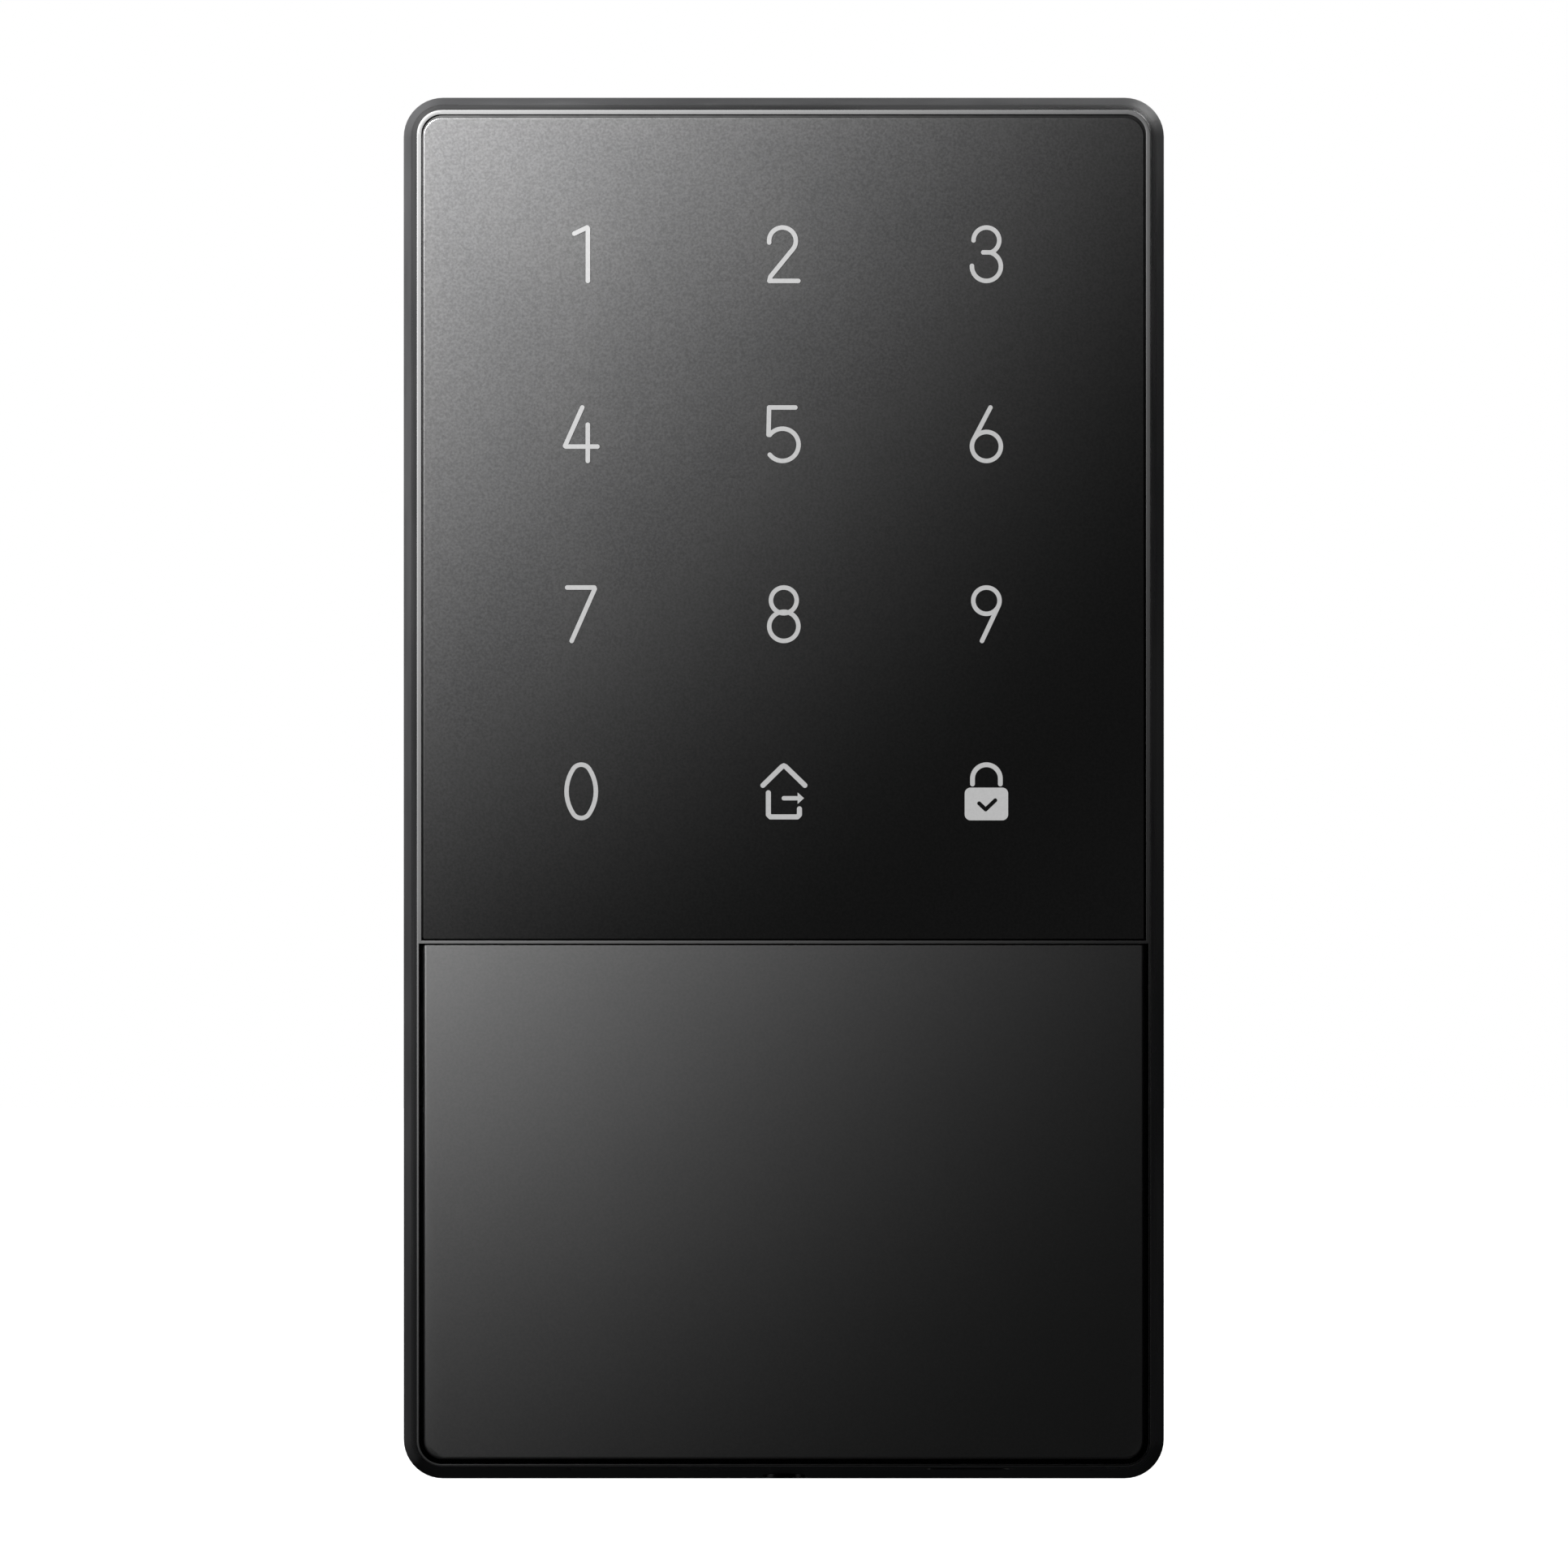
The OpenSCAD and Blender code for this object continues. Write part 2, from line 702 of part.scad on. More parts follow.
module light_baffle() {
    flange_y = ledge_back_y;
    color([0.9, 0.9, 0.88]) difference() {
        union() {
            box([-board_x, flange_y, board_bottom_z], [board_x, flange_y + 1.2, board_top_z]);
            box([-33.6, baffle_y, ring_bottom_z + 0.5], [33.6, flange_y + eps, ring_top_z - 0.5]);
            box([-31, flange_y, -10.5], [31, board_y, 66.5]);
        }
        at_legends() along_y(front_y, board_y + 1) rounded(17, 14.6, 1.5);
        post_notches(2.9);
        at_posts(board_post_z) rod_y(0, 0, 2.6, front_y, board_y + 1);
    }
}

// ---------- electronics ----------

module main_board() {
    color([0.05, 0.3, 0.14]) difference() {
        box([-board_x, board_y, board_bottom_z], [board_x, board_back_y, board_top_z]);
        post_notches(3);
        at_posts(board_post_z) rod_y(0, 0, 1.05, board_y - 1, board_back_y + 1);
    }
}

// Notches in the side edges that clear the housing posts
module post_notches(r) {
    at_posts(housing_post_z) rod_y(0, 0, r, front_y, board_back_y + 1);
    for (s = [-1, 1], z = housing_post_z)
        translate([s * (screw_col_x + 3), 0, z]) box([-3, front_y, -r], [3, board_back_y + 1, r]);
}

module key_leds() {
    color([0.95, 0.93, 0.8]) at_legends() {
        box([-1.6, board_y - 0.5, -0.8], [1.6, board_y, 0.8]);
        box([-1.1, board_y - 0.9, -0.65], [1.1, board_y - 0.5 + eps, 0.65]);
    }
}

module processor_chip() {
    color([0.08, 0.08, 0.08]) {
        box([-12.5, board_back_y, 40], [-4.5, board_back_y + 0.9, 48]);
        box([14, board_back_y, 14], [19, board_back_y + 1.2, 20]);
    }
    color([0.08, 0.08, 0.08]) box([-24, board_back_y, 12], [-19, board_back_y + 0.9, 17]);
}

module radio_shield() {
    color([0.75, 0.75, 0.76]) difference() {
        box([-30, board_back_y, 50.5], [-13, board_back_y + 2.4, 63.5]);
        box([-29.75, board_back_y - 1, 50.75], [-13.25, board_back_y + 2.15, 63.25]);
    }
}

// Bent strip antenna standing on two legs
module radio_antenna() {
    color([0.8, 0.72, 0.45]) {
        box([-8, board_back_y + 3.6, 64.6], [14, board_back_y + 4, 67.6]);
        box([-8, board_back_y, 64.6], [-7.6, board_back_y + 3.7, 67.6]);
        box([-3, board_back_y, 64.6], [-2.6, board_back_y + 3.7, 66]);
    }
}

module buffer_capacitor() {
    color([0.55, 0.56, 0.58]) rod_y(14, 54, 3.15, board_back_y + 0.9, board_back_y + 7.6);
    color([0.1, 0.1, 0.1]) box([10.6, board_back_y, 50.6], [17.4, board_back_y + 1, 57.4]);
}

// Small chips, resistors and coils on the back of the board
module board_parts() {
    color([0.55, 0.45, 0.33]) {
        for (i = [0:5]) box([-2 + i * 2.2, board_back_y, 41], [-0.8 + i * 2.2, board_back_y + 0.7, 43]);
        for (i = [0:4]) box([-26 + i * 3, board_back_y, 6], [-24.4 + i * 3, board_back_y + 0.6, 7]);
        for (i = [0:3]) box([-15, board_back_y, 12 + i * 2], [-13, board_back_y + 0.6, 13 + i * 2]);
        for (i = [0:2]) box([22 + i * 2.4, board_back_y, 52], [23.4 + i * 2.4, board_back_y + 0.9, 54.4]);
        box([22, board_back_y, 28], [26, board_back_y + 2, 32]);
        box([-3, board_back_y, 52], [0.2, board_back_y + 0.8, 54.5]);
    }
}

module board_screws() {
    color([0.7, 0.68, 0.6])
        at_posts(board_post_z) screw_y(board_back_y, 1.9, 1.2, 0.9, board_y - 2.8);
}

module tamper_switch() {
    color([0.1, 0.1, 0.11]) translate([tamper_x, 0, tamper_z]) difference() {
        box([-3.1, board_back_y, -3.1], [3.1, board_back_y + 4, 3.1]);
        rod_y(0, 0, 1.67, board_back_y + 0.8, board_back_y + 5);
    }
}

tamper_collar_y = board_back_y + 8;

module tamper_spring() {
    color([0.75, 0.75, 0.76]) translate([tamper_x, board_back_y + 4, tamper_z]) rotate([-90, 0, 0])
        coil(2.2, 2.2, tamper_collar_y - board_back_y - 4, 4, 0.2);
}

module tamper_plunger() {
    color([0.85, 0.85, 0.83]) translate([tamper_x, 0, tamper_z]) {
        rod_y(0, 0, 1.6, board_back_y + 3, plate_y - 0.1);
        rod_y(0, 0, 2.5, tamper_collar_y, tamper_collar_y + 0.6);
    }
}

// ---------- battery bay ----------

module battery_tray() {
    inner_low = [-bay_x, bay_floor_y, bay_bottom_z];
    inner_high = [bay_x, bay_floor_y + bay_wall, bay_top_z];
    wall = [bay_wall, 0, bay_wall];
    color([0.12, 0.12, 0.125]) difference() {
        union() {
            box([-deck_x, deck_y, deck_bottom_z], [deck_x, deck_y + deck_t, deck_top_z]);
            box([-bay_x, deck_y + eps, bay_bottom_z] - wall, inner_high + wall);
            box([-35.6, deck_y, deck_bottom_z], [35.6, apron_y + apron_t, deck_bottom_z + apron_t]);
            box([-35.6, apron_y, bottom_in_z], [35.6, apron_y + apron_t, deck_bottom_z + apron_t]);
            polarity_marks();
        }
        box([-bay_x, deck_y - 1, bay_bottom_z], [bay_x, bay_floor_y, bay_top_z]);
        for (s = [-1, 1], z = tray_post_z) {
            rod_y(s * screw_col_x, z, 1.15, deck_y - 1, deck_y + deck_t + 1);
            rod_y(s * screw_col_x, z, 1.8, deck_y - 1, deck_y + 0.8);
        }
        for (s = [-1, 1]) rod_y(s * magnet_x, magnet_z, 2.6, deck_y - 1, deck_y + 0.5);
        rod_y(button_x, button_z, 1.75, deck_y - 1, deck_y + deck_t + 1);
    }
    color([0.12, 0.12, 0.125]) cell_saddles();
}

// Ridges on the bay's floor that keep the cells apart
module cell_saddles() {
    for (i = [0:2]) {
        z = (cell_z[i] + cell_z[i + 1]) / 2;
        box([-18, cell_y + 2.9, z - 0.8], [18, bay_floor_y + 0.2, z + 0.8]);
    }
}

// Raised plus and minus marks beside each cell
module polarity_marks() {
    for (i = [0:3]) {
        side = i % 2 == 0 ? 1 : -1;
        translate([side * 28.4, deck_y, cell_z[i]]) {
            box([-1, -0.2, -0.22], [1, eps, 0.22]);
            box([-0.22, -0.2, -1], [0.22, eps, 1]);
        }
        translate([-side * 28.4, deck_y, cell_z[i]]) box([-1, -0.2, -0.22], [1, eps, 0.22]);
    }
}

module tray_screws() {
    color([0.62, 0.62, 0.63])
        for (s = [-1, 1], z = tray_post_z)
            translate([s * screw_col_x, 0, z]) screw_y(deck_y + 0.8, 1.65, 0.75, 0.95, deck_y + 5.8);
}

// Places each cell's parts along +X, with the positive end towards +X on even rows
module at_cells() {
    for (i = [0:3])
        translate([0, cell_y, cell_z[i]]) rotate([0, i % 2 == 0 ? 0 : 180, 0]) children();
}

cell_end = bay_x - plate_t - cap_h;

module battery_cans() {
    color([0.2, 0.42, 0.3]) at_cells() {
        rod_x(0, 0, cell_r - 0.25, cell_end - cell_l, cell_end);
        rod_x(0, 0, cell_r, cell_end - cell_l + 0.5, cell_end - 0.5);
    }
}

module battery_caps() {
    color([0.8, 0.8, 0.8]) at_cells() rod_x(0, 0, 1.9, cell_end, cell_end + cap_h);
}

module battery_springs() {
    spring_l = 2 * bay_x - 2 * plate_t - cap_h - cell_l;
    color([0.8, 0.8, 0.8]) at_cells() translate([-bay_x + plate_t, 0, 0]) rotate([0, 90, 0])
        coil(3.2, 2, spring_l, 3, 0.3);
}

module battery_plates() {
    half = 4;
    color([0.78, 0.78, 0.76]) {
        for (s = [-1, 1], i = [0:3])
            box([s * (bay_x - plate_t / 2) - plate_t / 2, cell_y - half, cell_z[i] - half],
                [s * (bay_x - plate_t / 2) + plate_t / 2, cell_y + half, cell_z[i] + half]);
        for (pair = [[-1, 0], [-1, 2], [1, 1]])
            box([pair[0] * (bay_x - plate_t / 2) - plate_t / 2, cell_y + 1, cell_z[pair[1]] - cell_pitch],
                [pair[0] * (bay_x - plate_t / 2) + plate_t / 2, cell_y + 3, cell_z[pair[1]]]);
    }
}

module power_connector() {
    color([0.9, 0.88, 0.8]) difference() {
        box([17, board_back_y, -10.5], [23, board_back_y + 4.2, -4.5]);
        box([17.6, board_back_y + 1.2, -12], [22.4, board_back_y + 3.6, -5.4]);
    }
}

// Positive and negative leads from the bay's right-hand wall to the board
module battery_leads() {
    out_x = bay_x + bay_wall;
    plus_y = port_y + port_t + 2.2;
    minus_y = port_y + port_t + 4;
    plug_y = board_back_y + 2.4;
    color([0.75, 0.1, 0.08])
        wire([
            [out_x - 0.3, plus_y, cell_z[0]], [out_x + 0.7, plus_y, cell_z[0] + 0.8],
            [out_x + 0.6, plus_y, -20], [21.2, plug_y, -13.5], [21.2, plug_y, -6]
        ], 0.5, [0, 1, 0]);
    color([0.08, 0.08, 0.08])
        wire([
            [out_x - 0.3, minus_y, cell_z[3]], [out_x + 0.7, minus_y, cell_z[3] + 0.8],
            [out_x + 0.7, minus_y, -40], [out_x + 0.6, minus_y, -20],
            [18.8, plug_y, -13.5], [18.8, plug_y, -6]
        ], 0.5, [0, 1, 0]);
}

// ---------- service socket, sounder and pairing button ----------

module port_board() {
    color([0.05, 0.3, 0.14]) difference() {
        union() {
            box([9, port_y, -70.2], [33.2, port_y + port_t, -64]);
            box([26.8, port_y, -64 - eps], [33.2, port_y + port_t, -37]);
        }
        for (z = concat(tray_post_z, [low_post_z])) rod_y(screw_col_x, z, 3, port_y - 1, port_y + port_t + 1);
    }
}

module usb_shell() {
    color([0.72, 0.72, 0.73]) translate([usb_x, usb_y, -71]) difference() {
        linear_extrude(6.9) stadium(usb_w, usb_h);
        translate([0, 0, -1]) linear_extrude(7.6) stadium(usb_w - 0.6, usb_h - 0.6);
    }
}

module usb_tongue() {
    color([0.12, 0.12, 0.12]) box([usb_x - 3.35, usb_y - 0.35, -70.3], [usb_x + 3.35, usb_y + 0.35, -64.4]);
}

flex_x = 29.4;

module flex_connectors() {
    color([0.85, 0.82, 0.7]) {
        box([flex_x - 2.5, port_y + port_t, -42], [flex_x + 2.5, port_y + port_t + 1.2, -38.5]);
        box([flex_x - 2.5, board_back_y, -9], [flex_x + 2.5, board_back_y + 1.2, -5.5]);
    }
}

module board_flex() {
    low_y = port_y + port_t + 1.2;
    high_y = board_back_y + 1.2;
    t = 0.2;
    color([0.85, 0.6, 0.2]) along_x(flex_x - 2, flex_x + 2)
        polygon([
            [low_y, -41], [low_y, -30], [high_y, -14], [high_y, -6],
            [high_y + t, -6], [high_y + t, -14], [low_y + t, -30], [low_y + t, -41]
        ]);
}

sound_w = 20.8;
sound_back_y = apron_y + apron_t + 0.2;

module sounder_case() {
    low = [sound_x - sound_w / 2, sound_back_y, bottom_in_z + 0.3];
    high = [sound_x + sound_w / 2, sound_back_y + 7.4, bottom_in_z + 4.9];
    color([0.1, 0.1, 0.1]) difference() {
        box(low, high);
        box(low + [0.7, 0.7, -1], high - [0.7, 0.7, 0.7]);
    }
}

module sounder_cone() {
    color([0.75, 0.73, 0.68])
        translate([sound_x, sound_back_y + 3.7, bottom_in_z + 0.6]) difference() {
            linear_extrude(0.7) stadium(sound_w - 2, 5.6);
            translate([0, 0, -0.2]) linear_extrude(0.6) stadium(sound_w - 6, 3);
        }
}

module sounder_magnet() {
    color([0.6, 0.6, 0.62])
        translate([sound_x, sound_back_y + 3.7, bottom_in_z + 2]) linear_extrude(2.2) stadium(12, 4.4);
}

module sounder_mesh() {
    color([0.3, 0.3, 0.3]) translate([sound_x, usb_y, bottom_in_z + 0.02]) linear_extrude(0.26) stadium(19.4, 3);
}

// Two thin leads from the sounder up the back of the battery tray to the board
module sounder_leads() {
    start_y = sound_back_y + 7.2;
    low_y = bay_floor_y + bay_wall + 0.6;
    high_y = board_back_y + 0.8;
    for (i = [0, 1]) {
        x = -9 + 1.2 * i;
        color(i == 0 ? [0.7, 0.1, 0.08] : [0.1, 0.1, 0.1])
            wire([
                [x, start_y, -67.6], [x, low_y, -65], [x, low_y, -60], [x, low_y, -22],
                [x, low_y, -17], [x, high_y, -9], [x, high_y - 0.4, -5]
            ], 0.3, [1, 0, 0]);
    }
}

module pairing_switch() {
    color([0.7, 0.7, 0.7]) translate([button_x, 0, button_z]) difference() {
        box([-2.4, port_y - 3.3, -2.4], [2.4, port_y, 2.4]);
        rod_y(0, 0, 1.07, port_y - 4, port_y - 2.2);
    }
}

module pairing_button() {
    color([0.8, 0.8, 0.8]) translate([button_x, 0, button_z]) {
        rod_y(0, 0, 1.7, deck_y + 0.2, deck_y + deck_t + 0.2);
        rod_y(0, 0, 2.6, deck_y + deck_t + 0.05, deck_y + deck_t + 0.8);
        rod_y(0, 0, 1, deck_y + deck_t, port_y - 2.9);
    }
}

module strike_plates() {
    color([0.7, 0.7, 0.7]) for (s = [-1, 1]) rod_y(s * magnet_x, magnet_z, 2.55, deck_y - 0.05, deck_y + 0.5);
}

// ---------- battery cover ----------

module service_cover() {
    color([0.1, 0.1, 0.105]) difference() {
        union() {
            below(cover_top_z) union() {
                rounded_front(face_y, cover_r, cover_round, 1);
                body_block(face_y + cover_round, cover_r, cover_back_y, cover_r);
            }
            for (s = [-1, 1]) {
                side = s * 35.9;
                box([side - 0.5, cover_back_y - eps, hinge_z], [side + 0.5, rib_back_y, -18.8]);
                rod_x(hinge_y, hinge_z, 1.15, side - (s > 0 ? 2.4 : 0.5), side + (s > 0 ? 0.5 : 2.4));
                box([side - (s > 0 ? 2.4 : 0.5), cover_back_y - eps, hinge_z - 1.1],
                    [side + (s > 0 ? 0.5 : 2.4), hinge_y, hinge_z + 1.1]);
                rod_y(s * magnet_x, magnet_z, 2.9, cover_back_y - eps, rib_back_y);
            }
            box([-35.9, cover_back_y - eps, -19.6], [35.9, rib_back_y, -18.8]);
            for (z = [-30.5, -41.2, -51.9]) box([-35.9, cover_back_y - eps, z - 0.4], [35.9, rib_back_y - 0.4, z + 0.4]);
            for (x = [-12, 12]) box([x - 0.4, cover_back_y - eps, -62], [x + 0.4, rib_back_y - 0.4, -19]);
        }
        for (s = [-1, 1]) {
            rod_x(hinge_y, hinge_z, pin_r, s > 0 ? 34.1 : -39, s > 0 ? 39 : -34.1);
            rod_y(s * magnet_x, magnet_z, 2.05, rib_back_y - 1, rib_back_y + 1);
        }
        finger_notch();
    }
}

// Shallow thumb scoop behind the cover's upper edge
module finger_notch() {
    rod_x(cover_back_y + 0.25, cover_top_z, 0.6, -6, 6);
}

module cover_pins() {
    color([0.7, 0.7, 0.71]) for (s = [-1, 1])
        rod_x(hinge_y, hinge_z, pin_r, s > 0 ? 34.1 : -window_x - 1, s > 0 ? window_x + 1 : -34.1);
}

module cover_magnets() {
    color([0.8, 0.8, 0.82]) for (s = [-1, 1])
        rod_y(s * magnet_x, magnet_z, 2, rib_back_y - 1, rib_back_y - 0.05);
}

wall_plate();
rear_housing();
housing_seal();
front_frame();
keypad_glass();
glass_tape();
digit_legends();
symbol_legends();
touch_film();
touch_electrodes();
light_guide();
light_baffle();
key_leds();
main_board();
processor_chip();
radio_shield();
radio_antenna();
buffer_capacitor();
board_parts();
board_screws();
housing_screws();
locking_screw();
tamper_switch();
tamper_spring();
tamper_plunger();
battery_tray();
tray_screws();
battery_cans();
battery_caps();
battery_springs();
battery_plates();
battery_leads();
power_connector();
port_board();
usb_shell();
usb_tongue();
flex_connectors();
board_flex();
sounder_case();
sounder_cone();
sounder_magnet();
sounder_mesh();
sounder_leads();
pairing_switch();
pairing_button();
strike_plates();
service_cover();
cover_pins();
cover_magnets();
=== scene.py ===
import json
import math

import bmesh
import bpy
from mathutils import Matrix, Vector

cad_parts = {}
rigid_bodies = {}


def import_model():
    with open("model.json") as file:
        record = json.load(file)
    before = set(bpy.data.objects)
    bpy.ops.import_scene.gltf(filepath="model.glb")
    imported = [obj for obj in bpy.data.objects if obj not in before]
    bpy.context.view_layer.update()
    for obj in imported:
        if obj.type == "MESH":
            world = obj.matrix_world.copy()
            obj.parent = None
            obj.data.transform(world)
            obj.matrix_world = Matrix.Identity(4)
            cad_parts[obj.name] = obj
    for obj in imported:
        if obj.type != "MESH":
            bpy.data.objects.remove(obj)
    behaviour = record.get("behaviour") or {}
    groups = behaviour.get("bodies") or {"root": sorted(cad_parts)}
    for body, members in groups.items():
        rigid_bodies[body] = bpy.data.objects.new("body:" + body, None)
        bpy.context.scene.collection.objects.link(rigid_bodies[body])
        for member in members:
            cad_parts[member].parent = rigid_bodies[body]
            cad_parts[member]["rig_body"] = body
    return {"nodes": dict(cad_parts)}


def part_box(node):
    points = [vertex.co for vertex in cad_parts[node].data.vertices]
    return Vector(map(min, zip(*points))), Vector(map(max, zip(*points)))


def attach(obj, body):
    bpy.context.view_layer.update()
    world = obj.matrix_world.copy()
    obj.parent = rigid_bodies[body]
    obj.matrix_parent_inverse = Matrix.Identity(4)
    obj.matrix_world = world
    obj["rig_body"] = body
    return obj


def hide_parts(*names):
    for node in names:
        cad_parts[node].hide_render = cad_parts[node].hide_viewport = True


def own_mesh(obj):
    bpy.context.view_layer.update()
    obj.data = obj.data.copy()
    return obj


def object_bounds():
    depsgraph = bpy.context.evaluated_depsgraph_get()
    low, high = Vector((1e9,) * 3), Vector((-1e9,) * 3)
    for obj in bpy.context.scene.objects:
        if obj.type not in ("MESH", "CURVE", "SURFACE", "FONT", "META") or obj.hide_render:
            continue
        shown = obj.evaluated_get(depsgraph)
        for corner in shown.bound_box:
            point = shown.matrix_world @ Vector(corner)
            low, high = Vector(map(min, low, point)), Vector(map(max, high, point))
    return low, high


# Looks of a wall-mounted alarm keypad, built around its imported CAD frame.
# Metres, in the CAD's axes: X right, Y from the front to the wall, Z up.

MM = 0.001
WHITE = (1, 1, 1, 1)

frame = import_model()
cad_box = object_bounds()
frame_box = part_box("front_frame")
glass_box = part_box("keypad_glass")
front_y = frame_box[0].y
base_z = cad_box[0].z


# ---------- camera, floor and light ----------

VIEW_DISTANCE = 7.0        # a long lens, which sees the body almost without perspective
VIEW_WIDTH = 164.75 * MM   # what the picture takes in, half-way back through the body
VIEW_CENTRE = Vector((0.02 * MM, 0, 0.43 * MM))
SENSOR = 36


def make_camera():
    data = bpy.data.cameras.new("camera")
    data.sensor_width = SENSOR
    data.lens = SENSOR * VIEW_DISTANCE / VIEW_WIDTH
    data.clip_end = 20
    camera = bpy.data.objects.new("camera", data)
    bpy.context.scene.collection.objects.link(camera)
    camera.location = VIEW_CENTRE + Vector((0, front_y / 2 - VIEW_DISTANCE, 0))
    camera.rotation_euler = (math.radians(90), 0, 0)
    bpy.context.scene.camera = camera


WORLD_LEVEL = 0.005
FLOOR_HALF = 8


def make_world():
    """White to the camera, and nearly dark to everything else, so that the lamps shape the black plastic."""
    world = bpy.data.worlds.new("studio")
    world.use_nodes = True
    bpy.context.scene.world = world
    tree = world.node_tree
    ground = tree.nodes["Background"]
    ground.inputs["Color"].default_value = (0.9, 0.95, 1, 1)
    ground.inputs["Strength"].default_value = WORLD_LEVEL
    backdrop = tree.nodes.new("ShaderNodeBackground")
    backdrop.inputs["Color"].default_value = WHITE
    seen = tree.nodes.new("ShaderNodeLightPath")
    mix = tree.nodes.new("ShaderNodeMixShader")
    tree.links.new(seen.outputs["Is Camera Ray"], mix.inputs["Fac"])
    tree.links.new(ground.outputs[0], mix.inputs[1])
    tree.links.new(backdrop.outputs[0], mix.inputs[2])
    tree.links.new(mix.outputs[0], tree.nodes["World Output"].inputs["Surface"])


def make_floor():
    """A pale floor at the foot of the body. Only the camera sees it, and only from above."""
    bm = bmesh.new()
    signs = ((-1, -1), (1, -1), (1, 1), (-1, 1))
    bm.faces.new([bm.verts.new((sx * FLOOR_HALF, sy * FLOOR_HALF, base_z)) for sx, sy in signs])
    floor = new_object("floor", bm)
    floor.visible_glossy = floor.visible_diffuse = floor.visible_shadow = False
    look = Look("floor")
    speckle = look.noise(220, 4)
    look.link(look.ramp(speckle, (0.3, (0.86, 0.86, 0.86)), (0.7, (0.9, 0.9, 0.9))), "Base Color")
    look.set(roughness=0.8, specular=0.1)
    under = look.node("ShaderNodeBsdfTransparent")
    mix = look.node("ShaderNodeMixShader")
    look.join(look.node("ShaderNodeNewGeometry").outputs["Backfacing"], mix.inputs["Fac"])
    look.join(look.shader.outputs[0], mix.inputs[1])
    look.join(under.outputs[0], mix.inputs[2])
    look.join(mix.outputs[0], look.tree.nodes["Material Output"].inputs["Surface"])
    floor.data.materials.append(look.material)
    return floor


def lamp(name, place, aim, size, power, lit=None, dark=None, spread=180):
    """A square softbox. lit holds the only objects that it lights, and dark those that it leaves out."""
    data = bpy.data.lights.new(name, "AREA")
    data.shape = "SQUARE"
    data.size = size
    data.energy = power
    data.spread = math.radians(spread)
    light = bpy.data.objects.new(name, data)
    bpy.context.scene.collection.objects.link(light)
    light.location = place
    light.rotation_euler = (Vector(aim) - Vector(place)).to_track_quat("-Z", "Y").to_euler()
    light.visible_camera = False
    link_light(light, lit, dark)
    return light


def link_light(light, lit, dark):
    if lit is None and dark is None:
        return
    chosen = bpy.data.collections.new(light.name + "_links")
    for obj in lit or dark:
        chosen.objects.link(obj)
    light.light_linking.receiver_collection = chosen
    if lit is None:
        for entry in chosen.collection_objects:
            entry.light_linking.link_state = "EXCLUDE"


def key_lamp(name, x, z, ahead, size, power, spread, **links):
    """Hangs in front of the upper left corner and shines straight back; places and sizes in millimetres.
    Its narrow spread lets the light fade out across the face. Place, power and spread were fitted to
    the photographed brightness, and glass, cover and rim have one each, so it is a fit and not a real
    lamp's plan."""
    place = (x * MM, front_y - ahead * MM, z * MM)
    aim = (x * MM, front_y, z * MM)
    lamp(name, place, aim, size * MM, power, spread=spread, **links)


def make_lights(floor, faces, cover_parts, shells):
    key_lamp("key_glass", x=-220, z=236, ahead=200, size=60, power=154, spread=114,
             dark=cover_parts + shells + [floor])
    key_lamp("key_cover", x=-130, z=91, ahead=200, size=60, power=3.98, spread=91, lit=cover_parts)
    key_lamp("key_rim", x=-308, z=280, ahead=300, size=80, power=170, spread=111, lit=shells)
    middle = (0, front_y / 2, 0)
    lamp("front_fill", (0.3, -1.4, -0.2), middle, 0.8, 0.8, lit=faces)
    for name, place, size, power in (
        ("behind", (0, 1.2, 0), 0.1, 12),
        ("rim_left", (-0.1, 0.02, 0.16), 0.06, 0.1),
        ("rim_right", (0.08, 0.02, 0.12), 0.04, 0.24),
        ("side_left", (-1.1, -0.1, 0.2), 0.7, 3),
        ("side_right", (1.15, 0.1, 0.25), 0.8, 2),
        ("overhead", (0.1, 0, 1.1), 0.8, 4),
        ("under", (0.1, 0, -0.9), 0.6, 1.2),
    ):
        lamp(name, place, middle, size, power, dark=[floor])
    sun = bpy.data.lights.new("floor_light", "SUN")
    sun.energy = 5.2
    sun.angle = math.radians(40)
    sun.use_shadow = False
    sun_object = bpy.data.objects.new("floor_light", sun)
    bpy.context.scene.collection.objects.link(sun_object)
    sun_object.rotation_euler = (math.radians(20), 0, 0)
    link_light(sun_object, [floor], None)


# ---------- meshes ----------

def new_object(name, bm):
    mesh = bpy.data.meshes.new(name)
    bm.to_mesh(mesh)
    bm.free()
    obj = bpy.data.objects.new(name, mesh)
    bpy.context.scene.collection.objects.link(obj)
    return obj


SMOOTH_UNDER = math.radians(32)


def finish_mesh(bm):
    """Smooth faces, with the edges that stay sharp marked."""
    bmesh.ops.recalc_face_normals(bm, faces=bm.faces)
    for face in bm.faces:
        face.smooth = True
    for edge in bm.edges:
        edge.smooth = len(edge.link_faces) == 2 and edge.calc_face_angle(0) < SMOOTH_UNDER


def even_normals(obj):
    """Wide faces keep their own normals beside a small rounded edge."""
    weighted = obj.modifiers.new("even_normals", "WEIGHTED_NORMAL")
    weighted.keep_sharp = True
    weighted.weight = 100


def dress(piece, body, slot, material, *nodes):
    """Gives a new piece its finish and its body, and hides the CAD nodes that it stands for."""
    piece.data.materials.clear()
    piece.data.materials.append(material)
    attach(piece, body)
    if nodes:
        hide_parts(*nodes)
    return piece


def refined(name, node):
    """A copy of a CAD node's surface with smooth curves and crisp edges."""
    bm = bmesh.new()
    bm.from_mesh(frame["nodes"][node].data)
    bmesh.ops.remove_doubles(bm, verts=bm.verts, dist=0.001 * MM)
    finish_mesh(bm)
    piece = new_object(name, bm)
    even_normals(piece)
    return piece


